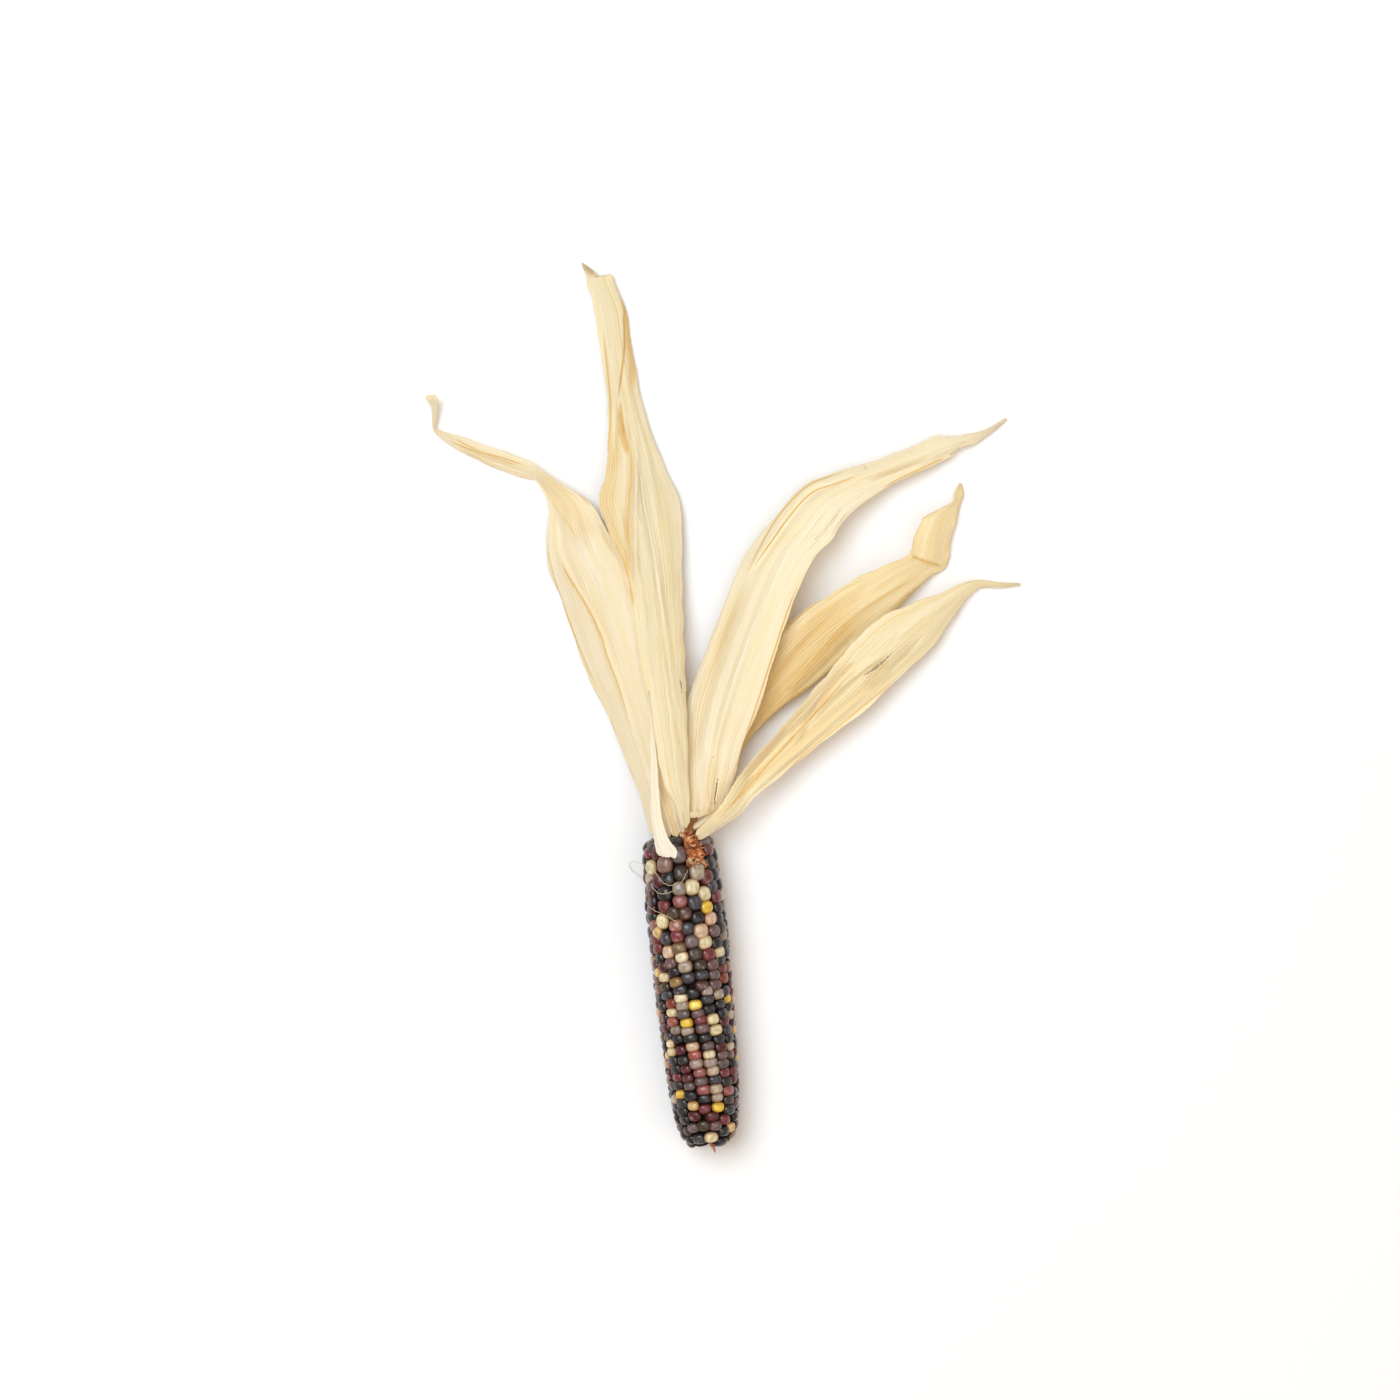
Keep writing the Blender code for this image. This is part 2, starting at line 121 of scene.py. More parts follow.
def waves(draw, length, along, across=0.0, count=7):
    """A smooth random value, mostly between -1 and 1, with bumps about this long."""
    total = 0.0
    for _ in range(count):
        turn = draw.uniform(0.0, math.tau)
        pace = math.tau / (length * draw.uniform(0.8, 1.6))
        lean = math.cos(turn) if np.ndim(across) else 1.0
        spot = along * lean + across * math.sin(turn)
        total = total + np.sin(pace * spot + draw.uniform(0.0, math.tau))
    return total / math.sqrt(count)


def new_piece(name, points, faces, finish, crease=180.0):
    """A mesh piece from points in millimetres. Edges sharper than the crease angle stay sharp."""
    mesh = bpy.data.meshes.new(name)
    mesh.from_pydata((ORIGIN + np.asarray(points) * MM).tolist(), [], faces)
    mesh.materials.append(finish)
    mesh.shade_smooth()
    if crease < 180.0:
        mesh.set_sharp_from_angle(angle=math.radians(crease))
    piece = bpy.data.objects.new(name, mesh)
    bpy.context.scene.collection.objects.link(piece)
    return piece


def finish_piece(piece, slot, *nodes):
    """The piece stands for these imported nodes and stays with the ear."""
    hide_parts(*nodes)
    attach(piece, "root")


def ring_faces(rings, sides):
    """Faces of a closed solid through rings of points, with a cap at each end."""
    faces = [tuple(range(sides))[::-1], tuple(range((rings - 1) * sides, rings * sides))]
    for ring in range(rings - 1):
        for side in range(sides):
            after = (side + 1) % sides
            low = ring * sides
            faces.append((low + side, low + after, low + sides + after, low + sides + side))
    return faces


def tube(path, radii, sides):
    """Rings of points round a path, without any twist."""
    path = np.asarray(path, float)
    along = np.gradient(path, axis=0)
    along /= np.linalg.norm(along, axis=1)[:, None]
    side = np.cross(along[0], (0.0, 0.0, 1.0))
    rings = []
    for middle, forward, radius in zip(path, along, np.broadcast_to(radii, len(path))):
        side = side - forward * (side @ forward)
        side = side / np.linalg.norm(side)
        up = np.cross(side, forward)
        turns = np.arange(sides) * math.tau / sides
        rings.append(middle + radius * (np.outer(np.cos(turns), side) + np.outer(np.sin(turns), up)))
    return np.concatenate(rings)


class Tone:
    """One value or colour of a finish. Arithmetic on it adds the nodes that work it out."""

    def __init__(self, finish, socket):
        self.finish = finish
        self.socket = socket

    def maths(self, operation, first, second):
        return self.finish.node("ShaderNodeMath", {"operation": operation}, {0: first, 1: second})

    def __add__(self, other):
        return self.maths("ADD", self, other)

    def __rsub__(self, other):
        return self.maths("SUBTRACT", other, self)

    def __mul__(self, other):
        return self.maths("MULTIPLY", self, other)

    __radd__ = __add__
    __rmul__ = __mul__

    def step(self, low, high):
        """0 below the low value and 1 above the high one, with a soft change between them."""
        return self.finish.node(
            "ShaderNodeMapRange", {"interpolation_type": "SMOOTHSTEP"},
            {"Value": self, "From Min": low, "From Max": high},
        )


class Finish:
    """A material, with one way to add any node to it."""

    def __init__(self, name, **sockets):
        self.material = bpy.data.materials.new(name)
        self.material.use_nodes = True
        self.tree = self.material.node_tree
        self.shader = self.tree.nodes["Principled BSDF"]
        for socket, value in sockets.items():
            self.feed(self.shader.inputs[socket.replace("_", " ")], value)

    def feed(self, socket, value):
        if isinstance(value, Tone):
            self.tree.links.new(value.socket, socket)
        elif isinstance(value, tuple) and socket.type == "RGBA":
            socket.default_value = (*value, 1.0)
        else:
            socket.default_value = value

    def node(self, kind, settings=None, sockets=None, output=0):
        made = self.tree.nodes.new(kind)
        for setting, value in (settings or {}).items():
            setattr(made, setting, value)
        for socket, value in (sockets or {}).items():
            self.feed(made.inputs[socket], value)
        return Tone(self, made.outputs[output])

    def place(self, *stretch):
        """The place on the piece in metres, stretched along each axis."""
        place = self.node("ShaderNodeTexCoord", output="Object")
        return self.node("ShaderNodeVectorMath", {"operation": "MULTIPLY"}, {0: place, 1: stretch})

    def noise(self, place, detail=2.0, roughness=0.5):
        """Soft noise over a place, or over the place on the piece stretched by one number."""
        if isinstance(place, float):
            place = self.place(place, place, place)
        sockets = {"Vector": place, "Scale": 1.0, "Detail": detail, "Roughness": roughness}
        return self.node("ShaderNodeTexNoise", {}, sockets)

    def mix(self, share, first, second, blend="MIX"):
        return self.node(
            "ShaderNodeMix", {"data_type": "RGBA", "blend_type": blend}, {0: share, 6: first, 7: second}, 2)

    def darker(self, tone, shares):
        """The same colour with only these shares of its red, green and blue."""
        return self.mix(1.0, tone, shares, "MULTIPLY")

    def painted(self, name, output="Fac"):
        """A value or a colour that the mesh carries."""
        return self.node("ShaderNodeAttribute", {"attribute_name": name}, output=output)

    def coat(self, colour, roughness, height, depth):
        """Sets the colour and the roughness, and a relief whose full depth is given in millimetres."""
        self.feed(self.shader.inputs["Base Color"], colour)
        self.feed(self.shader.inputs["Roughness"], roughness)
        relief = self.node("ShaderNodeBump", {}, {"Height": height, "Strength": 1.0, "Distance": depth * MM})
        self.feed(self.shader.inputs["Normal"], relief)
        return self.material


def rough_chaff(name, dark, middle, pale):
    """Dry rough plant matter: blotches of three colours, with a crumbly relief."""
    finish = Finish(name)
    blotch = finish.noise(420.0, 4.0, 0.6)
    crumb = finish.noise(2400.0, 3.0, 0.6)
    colour = finish.mix(blotch.step(0.35, 0.6), dark, middle)
    colour = finish.mix(crumb.step(0.5, 0.72) * 0.8, colour, pale)
    return finish.coat(colour, 0.75 + 0.2 * crumb, crumb + blotch, 0.25)


# Painted shade: the cob's colours are darkened to brown black, standing in for the shade deep in the grooves
# between kernels
cob_finish = rough_chaff("dry_cob", (0.018, 0.006, 0.004), (0.055, 0.018, 0.010), (0.13, 0.055, 0.028))
draw = random.Random(3)
# The rings of the cob lie close together at both of its ends
cob_places = np.concatenate((
    np.linspace(-COB_PAST_STALK_END, 3.0, 8),
    np.linspace(4.5, COB_END - 3.0, 90),
    np.linspace(COB_END - 2.2, COB_END, COB_END_RINGS),
))
cob_angles = np.arange(COB_SIDES) * 360.0 / COB_SIDES
along, around = np.meshgrid(cob_places, cob_angles, indexing="ij")
cob_radius = np.maximum(2.2, ear_radius(cob_places) - KERNEL_DEPTH)[:, None] + 0.35
cups = np.cos(np.radians(around * COB_CUPS)) * np.cos(along * math.tau / CUP_LENGTH)
cob_radius = cob_radius + CUP_DEPTH * cups + COB_ROUGHNESS * waves(draw, 3.0, along, around / 4.0)
cob_radius[-COB_END_RINGS:] *= np.sqrt(np.linspace(1.0, 0.15, COB_END_RINGS))[:, None]
cob_points = on_ear(around, along, cob_radius).reshape(-1, 3)
cob = new_piece("cob", cob_points, ring_faces(len(cob_places), COB_SIDES), cob_finish)
finish_piece(cob, "cob", "cob_core")

# ---------------------------------------------------------------------------------------------------
# Kernels. Each is a hard, waxy seed with a rounded crown, pressed by its neighbours into a rounded
# polygon, and set in the cob by its narrow foot. They stand in 16 rows that wind slowly round the ear,
# large and staggered near the stalk end, and small and level from the middle to the tip.

ROWS = 16
WIND_START = 24.0
WIND_PER_MM = 0.68
FIRST_ROW_ANGLE = 13.7
# Late rows grow in between the others some way from the stalk end, and early rows end before the tip
LATE_ROWS = (1, 5, 9, 13)
EARLY_ROWS = (3, 7, 11, 15)
LATE_ROWS_GROW = (16.0, 27.0)
EARLY_ROWS_SHRINK = (114.0, 124.0)
FIRST_KERNEL = 0.6
LAST_KERNEL = 129.6
# Levels of kernels are counted from well before the ear to well past it, as winding shifts them along
FIRST_LEVEL = -16.0
LAST_LEVEL = 160.0
# A row has kernels where it has at least this share of a full row's width
LEAST_SHARE = 0.45
# Distance from the stalk end, and the step from one kernel to the next
KERNEL_STEPS = ((-16.0, 6.4), (14.0, 6.2), (24.0, 5.1), (42.0, 4.9), (54.0, 4.1), (66.0, 3.6), (150.0, 3.5))
# Kernels of odd rows sit this share of a step past those of even rows, until the stagger has faded out
STAGGER = 0.25
STAGGER_ENDS = (34.0, 56.0)
MIDDLE_RADIUS = 16.0
# From here to the tip the kernels are small and even
EVEN_FROM = 60.0
UNEVEN_STEPS = (0.6, 0.22)
UNEVEN_ANGLES = (3.0, 1.0)
# From this angle round, kernels are larger or smaller by chance, near the stalk end and past it
DRAWN_FROM_ANGLE = 75.0
DRAWN_SIZES = (3.4, 0.9)
# A gap below 0 lets the rounded outlines press on one another
GAP_IN_ROW = -0.96
GAP_BETWEEN_ROWS = -1.36
FULLER_NEAR_STALK = 0.26
NEIGHBOURS_WITHIN = 12.0
# The most that a kernel spreads to each side, and lengthwise as a share of its step, and the least
SPREAD_SIDEWAYS = 4.6
SPREAD_LENGTHWISE = 0.80
LEAST_SPREAD = 0.9
# A kernel of this half width is painted darker, as shade, from its rim in, and a larger one keeps a painted
# dark rim just as wide
GROOVE_HALF = 2.3
# How square the outlines and the crowns are, and how far the crowns stand past the ear's profile
ROUNDING = (3.1, 4.3)
FULLNESS = (2.3, 2.8)
MEAN_LIFT = 0.20
# The depth of a crown: for every kernel, and for each millimetre of its half width
CROWN_DEPTH = (0.7, 0.72)
# How much the depths of crowns, their lean, their dents and their height over the profile differ
DEPTH_RANGE = (0.92, 1.08)
LEAN = 0.045
DENTS = (-0.10, 0.20)
DENT_SIZES = (0.7, 1.3)
LIFT_SPREAD = 0.18
# The last kernels stand out more where the ear narrows
TIP_LIFT = 0.5
TIP_LIFT_GROWS = (108.0, 122.0)
DIMPLE = 0.04
SCAR_SHARE = 0.14
SCAR_SIZE = 0.55
COAT_WEIGHT = 0.45
KERNEL_SIDES = 26
# How far out each ring of a crown lies, as a share of its outline
CROWN_RINGS = np.sin(np.radians((13.0, 26.0, 38.0, 50.0, 61.0, 71.0, 80.0, 90.0)))
# Each ring of the sides: how far out, and millimetres below the edge of the crown
FOOT_RINGS = ((0.97, 0.7), (0.88, 1.9), (0.70, 3.2))

# What light each colour sends back, in shares of red, green and blue
KERNEL_TONES = {
    "slate black": (0.020, 0.019, 0.019), "dark slate": (0.030, 0.028, 0.031),
    "slate blue": (0.056, 0.052, 0.062), "slate": (0.160, 0.118, 0.114),
    "charcoal": (0.060, 0.042, 0.032), "charcoal olive": (0.064, 0.046, 0.022),
    "brown grey": (0.112, 0.052, 0.038), "olive": (0.250, 0.160, 0.075), "olive gold": (0.340, 0.200, 0.062),
    "dusky mauve": (0.185, 0.112, 0.108), "grey mauve": (0.190, 0.150, 0.145),
    "light mauve": (0.455, 0.385, 0.280), "light grey": (0.330, 0.280, 0.215),
    "greige": (0.435, 0.345, 0.290), "rosy greige": (0.290, 0.172, 0.120),
    "dark wine": (0.100, 0.014, 0.016), "dusky wine": (0.170, 0.045, 0.040), "wine": (0.215, 0.042, 0.046),
    "light wine": (0.362, 0.124, 0.106), "pink red": (0.430, 0.126, 0.096),
    "mauve pink": (0.380, 0.175, 0.118), "pink beige": (0.760, 0.545, 0.360), "rust": (0.270, 0.050, 0.022),
    "cream": (0.870, 0.780, 0.455), "ivory": (0.890, 0.825, 0.530), "tan cream": (0.600, 0.500, 0.345),
    "yellow": (0.950, 0.670, 0.070), "bright yellow": (0.980, 0.780, 0.145), "gold": (0.830, 0.590, 0.230),
}
# How often each colour comes round the back and the sides
COMMON_MIX = {
    "slate black": 10, "dark slate": 13, "slate blue": 10, "slate": 9, "charcoal": 5, "charcoal olive": 4,
    "brown grey": 3, "dusky mauve": 6, "grey mauve": 3, "dark wine": 10, "dusky wine": 5, "wine": 7,
    "cream": 5, "tan cream": 3, "yellow": 2, "gold": 3, "pink beige": 3, "mauve pink": 2, "light wine": 3,
    "light mauve": 4, "light grey": 2, "greige": 2, "rust": 2, "olive": 2, "ivory": 1,
}
# Kernels of the upper side, each set one by one: how far to the side, and how far from the stalk end, it is
# seen from the camera's place, and for a large one how hard it presses on its neighbours
SEEN_KERNELS = {
    "slate black": (
        (-6.8, 16.5), (-8.9, 22.8), (-16.0, 7.6), (13.7, 11.7), (-8.4, 56.0), (-15.4, 32.0), (5.2, 34.3),
        (-3.6, 84.2), (3.0, 84.8), (-9.6, 83.9), (6.2, 73.2), (-0.4, 65.8), (-11.8, 96.6), (10.8, 103.8),
        (-6.2, 108.5), (-0.3, 110.3), (-8.6, 126.6), (5.5, 129.2), (14.1, 96.2), (-15.2, 86.8),
    ),
    "dark slate": (
        (-1.8, 0.5), (-13.9, 49.4), (12.7, 45.8), (16.0, 45.8), (13.6, 52.8), (-6.1, 63.9), (11.4, 71.3),
        (12.1, 75.1), (15.2, 72.4), (13.7, 85.6), (9.2, 85.7), (-8.2, 93.3), (-11.8, 103.5), (-10.8, 111.4),
        (-10.9, 114.7), (-10.1, 118.3), (7.2, 124.8), (15.1, 30.9), (14.9, 35.2), (-15.9, 66.6), (14.8, 16.6),
        (13.6, 108.8), (-13.6, 117.0), (12.2, 118.6), (-14.3, 107.0),
    ),
    "slate blue": (
        (4.5, 58.4), (-12.3, 65.5), (5.8, 68.8), (14.3, 66.0), (-10.4, 41.8), (-2.0, 59.1), (0.1, 38.4),
        (4.7, 27.9), (-15.2, 25.3), (13.2, 21.6), (-12.7, 93.0), (5.5, 102.9), (-5.1, 126.9), (-13.7, 82.7),
        (13.3, 82.2), (10.3, 115.9), (16.2, 49.6), (-13.5, 112.4),
    ),
    "slate": (
        (-0.3, 7.0), (-5.6, 73.9), (4.0, 88.3), (10.2, 58.8), (-0.8, 102.9), (-6.6, 104.4), (9.9, 96.3),
        (-6.8, 122.0), (13.4, 113.4),
    ),
    "charcoal": ((-0.1, 14.9, 5.0), (2.6, 49.4), (4.3, 54.1), (10.8, 112.0), (-14.9, 69.9)),
    "charcoal olive": ((-5.5, 31.6), (15.4, 39.2), (-12.9, 61.8), (-1.8, 121.7), (-9.8, 123.2)),
    "brown grey": ((-11.7, 0.0), (-0.3, 31.9, 5.0), (4.0, 63.0)),
    "olive": ((-4.7, 46.2),),
    "olive gold": ((-7.6, 60.4),),
    "dusky mauve": (
        (12.0, 40.3), (10.0, 63.1), (0.8, 74.3), (2.2, 80.7), (-9.3, 52.1), (9.8, 54.4), (3.5, 122.2),
        (10.0, 92.7), (-15.0, 19.1), (14.0, 92.6), (-15.9, 52.4),
    ),
    "grey mauve": ((1.4, 43.9), (11.4, 1.0)),
    "light mauve": ((7.3, 14.8, 5.0), (11.2, 67.1), (-5.9, 70.5), (-4.7, 81.2), (5.8, 110.3), (-3.0, 54.2)),
    "light grey": ((-1.6, 21.4), (-10.0, 80.3), (15.7, 42.8)),
    "greige": ((-2.3, 95.3), (4.3, 95.4), (6.1, 65.3)),
    "rosy greige": ((-7.5, 10.5, 9.0), (-15.8, 58.4), (-15.7, 62.2)),
    "dark wine": (
        (-10.6, 5.2), (-11.2, 17.2), (-15.2, 22.2), (-15.3, 28.9), (-12.9, 53.5), (-8.9, 89.0), (9.8, 89.1),
        (12.5, 78.8), (-14.3, 79.0), (-14.8, 74.8), (-7.0, 100.9), (-7.5, 97.1), (-5.7, 117.3), (2.3, 118.1),
        (13.6, 103.0), (-16.1, 12.4), (15.7, 79.2), (-14.6, 98.6),
    ),
    "dusky wine": ((13.7, 5.8, 6.0), (11.4, 17.7), (13.9, 56.4)),
    "wine": (
        (-14.5, 4.7), (-5.0, 41.2, 6.0), (8.6, 50.1, 4.0), (14.8, 26.1), (-11.8, 100.1), (-0.5, 114.6),
        (10.5, 100.1), (-14.9, 41.7), (-14.4, 45.5), (8.0, 119.8), (-9.7, 28.0), (1.8, 77.0),
    ),
    "light wine": ((-2.0, 26.8), (-1.1, 99.2), (-0.3, 106.6), (11.0, 107.8)),
    "pink red": ((-11.0, 76.8), (-2.9, 91.8), (-14.8, 94.4)),
    "mauve pink": ((-5.0, 36.7, 4.0), (-15.0, 35.6)),
    "pink beige": ((11.2, 35.1, 4.0), (6.2, 40.0, 5.0), (-10.2, 47.5, 5.0), (-3.3, 88.0)),
    "rust": ((14.2, 60.4), (-11.2, 69.1)),
    "cream": (
        (-14.0, 11.2), (4.3, 21.2, 4.0), (9.8, 24.5, 9.0), (-11.3, 34.2, 4.0), (7.6, 44.9), (13.3, 49.6),
        (-13.0, 57.7), (7.5, 77.3, 4.0), (8.2, 82.0, 4.0), (-11.0, 72.9), (-12.8, 85.8), (1.0, 126.4),
        (-12.7, 89.1),
    ),
    "ivory": ((-4.0, 50.2), (-6.2, 67.2), (4.2, 92.0)),
    "tan cream": ((5.0, 99.0), (5.6, 106.6), (13.8, 89.2), (-15.3, 15.7), (15.2, 75.9), (-13.6, 108.9)),
    "yellow": ((10.1, 30.1, 6.0), (-4.8, 77.8, 3.0), (-11.1, 107.3), (5.4, 114.4), (14.8, 69.2)),
    "bright yellow": ((0.0, 70.8, 3.0),),
    "gold": ((-14.0, 38.6), (-5.8, 112.8), (10.2, 123.4), (-15.4, 55.3), (15.7, 82.3), (-14.7, 90.5)),
}
# The camera's height over the ear's axis, and how far to the side and towards the leaves it hangs
CAMERA_HEIGHT = 1600.0
LOOK_AT = (15.2, 56.7)
# How far to the side a kernel that is still seen may lie, as a share of the ear's radius
SIDE_LIMIT = 0.985
# Grown kernels keep clear of the set ones: how near they may come, and how far round they stay away
LEAST_APART = 2.9
CLEAR_ANGLE = 58.0
# Seats that hold no kernel, but keep their neighbours from spreading over the bare patch
EDGE_SEATS = ((0, 1.0, 20.0, ""), (0, 5.0, 24.0, ""), (0, 8.8, 26.0, ""), (0, 3.0, 34.0, ""))
TIPWARD = np.array((0.0, -1.0, 0.0))


def turned(angle):
    """The same angle, from -180 to 180."""
    return (angle + 180.0) % 360.0 - 180.0


def facing(angle):
    """The way out from the ear's axis at this angle, and the way on round the ear."""
    turn = math.radians(angle)
    outward = np.array((math.sin(turn), 0.0, math.cos(turn)))
    return outward, np.array((math.cos(turn), 0.0, -math.sin(turn)))


def kernel_step(distance):
    return float(curve_rows(KERNEL_STEPS, distance)[0, 0])


def row_share(row, distance):
    """How much of a full row's width this row has here."""
    if row in LATE_ROWS:
        return float(smooth_step(*LATE_ROWS_GROW, distance))
    if row in EARLY_ROWS:
        return 1.0 - float(smooth_step(*EARLY_ROWS_SHRINK, distance))
    return 1.0


def row_angle(row, distance):
    """The angle of a row's middle, in degrees."""
    shares = [row_share(index, distance) for index in range(1, ROWS + 1)]
    unit = 360.0 / sum(shares)
    start = FIRST_ROW_ANGLE + WIND_PER_MM * max(0.0, distance - WIND_START) - shares[0] * unit / 2
    return start + (sum(shares[:row - 1]) + shares[row - 1] / 2) * unit


def ear_slope(distance):
    """How steeply the ear widens here, as an angle."""
    reach = 2.2
    low, high = ear_radius((distance - reach, distance + reach))
    return math.atan((high - low) / (2 * reach))


# Length along the ear's outline, so that kernels keep their step where the ear narrows to its ends
outline_places = np.linspace(-2.0, 133.0, 1351)
outline_steps = np.hypot(np.diff(outline_places), np.diff(ear_radius(outline_places)))
outline_lengths = np.concatenate(((0.0,), np.cumsum(outline_steps)))


def along_outline(distance):
    return float(np.interp(distance, outline_places, outline_lengths))


def seen_seat(side, distance):
    """The distance from the stalk end and the angle of a kernel, from where it is seen."""
    angle = 0.0
    for _ in range(4):
        nearer = 1.0 - radius_at(distance) * math.cos(angle) / CAMERA_HEIGHT
        true_side = LOOK_AT[0] + (side - LOOK_AT[0]) * nearer
        seat = (distance + LOOK_AT[1]) * nearer - LOOK_AT[1]
        angle = math.asin(min(max(true_side / radius_at(seat), -SIDE_LIMIT), SIDE_LIMIT))
    return seat, math.degrees(angle)


def nearest_row(distance, angle):
    rows = [row for row in range(1, ROWS + 1) if row_share(row, distance) > LEAST_SHARE]
    return min(rows, key=lambda row: abs(turned(row_angle(row, distance) - angle)))


def set_places():
    """The kernels that are set one by one, as (row, distance, angle, colour), and how hard each presses."""
    places = []
    sizes = []
    for tone, spots in SEEN_KERNELS.items():
        for side, distance, *size in spots:
            distance, angle = seen_seat(side, distance)
            places.append((nearest_row(distance, angle), distance, angle, tone))
            sizes.append(sum(size))
    return places, sizes


def grown_places(draw, taken):
    """Kernels for the rest of the ear, row by row, clear of the ones that are set."""
    levels = []
    level = FIRST_LEVEL
    while level < LAST_LEVEL:
        levels.append(level)
        level += kernel_step(level) * draw.uniform(0.97, 1.03)
    places = []
    for row in range(1, ROWS + 1):
        for level in levels:
            # Levels run across the rows, so where the rows wind the kernels shift along
            around = turned(row_angle(row, min(max(level, 0.0), 130.0)))
            wind = math.radians(WIND_PER_MM) * float(smooth_step(WIND_START - 4.0, WIND_START + 30.0, level))
            stagger = STAGGER * (1 if row % 2 else -1) * (1.0 - float(smooth_step(*STAGGER_ENDS, level)))
            distance = level - wind * MIDDLE_RADIUS * math.radians(around) * MIDDLE_RADIUS
            distance += stagger * kernel_step(level)
            uneven = UNEVEN_STEPS[0] if level < EVEN_FROM else UNEVEN_STEPS[1]
            distance += draw.uniform(-uneven, uneven)
            sideways = draw.uniform(-1.0, 1.0)
            tone = draw.choices(list(COMMON_MIX), list(COMMON_MIX.values()))[0]
            if not FIRST_KERNEL <= distance <= LAST_KERNEL or row_share(row, distance) < LEAST_SHARE:
                continue
            sideways *= UNEVEN_ANGLES[0] if distance < STAGGER_ENDS[1] else UNEVEN_ANGLES[1]
            angle = turned(row_angle(row, distance) + sideways)
            round_to = math.radians(radius_at(distance))
            apart = min(math.hypot((angle - other[2]) * round_to, distance - other[1]) for other in taken)
            if abs(angle) > CLEAR_ANGLE and apart > LEAST_APART:
                places.append((row, distance, angle, tone))
    return places


def drawn_size(draw, distance, angle):
    if abs(angle) < DRAWN_FROM_ANGLE:
        return 0.0
    return draw.gauss(0.0, DRAWN_SIZES[0] if distance < EVEN_FROM else DRAWN_SIZES[1])


hand_set, hand_sizes = set_places()
kernel_seats = hand_set + grown_places(random.Random(11), hand_set)
seats = kernel_seats + list(EDGE_SEATS)
seat_angles = np.array([seat[2] for seat in seats])
seat_lengths = np.array([along_outline(seat[1]) for seat in seats])
draw = random.Random(12)
seat_sizes = np.array([drawn_size(draw, seat[1], seat[2]) for seat in seats])
seat_sizes[:len(hand_sizes)] += hand_sizes


def kernel_outline(number, rounding):
    """The outline of one kernel round its seat: sideways and lengthwise, in millimetres."""
    _, distance, angle, _ = seats[number]
    sideways = np.radians(turned(seat_angles - angle)) * radius_at(distance)
    lengthwise = seat_lengths - seat_lengths[number]
    apart = np.hypot(sideways, lengthwise)
    near = (apart < NEIGHBOURS_WITHIN) & (apart > 0.01)
    apart = apart[near]
    gap = GAP_IN_ROW + (GAP_BETWEEN_ROWS - GAP_IN_ROW) * np.abs(sideways[near]) / apart
    gap = gap - FULLER_NEAR_STALK * (1.0 - float(smooth_step(26.0, EVEN_FROM, distance)))
    reach = apart / 2 + (seat_sizes[number] - seat_sizes[near]) / (2 * apart) - gap
    turns = np.arctan2(lengthwise[near], sideways[near])
    # Where it has no neighbour it still has an end
    length = kernel_step(distance) * SPREAD_LENGTHWISE
    turns = np.append(turns, (0.0, math.pi, math.pi / 2, -math.pi / 2))
    reach = np.append(reach, (SPREAD_SIDEWAYS, SPREAD_SIDEWAYS, length, length))
    reach = np.maximum(reach, LEAST_SPREAD)
    around = np.arange(KERNEL_SIDES) * math.tau / KERNEL_SIDES
    press = np.maximum(np.cos(around[:, None] - turns), 0.0) / reach
    out = (press ** rounding).sum(1) ** (-1.0 / rounding)
    return np.stack((out * np.cos(around), out * np.sin(around)), axis=1)


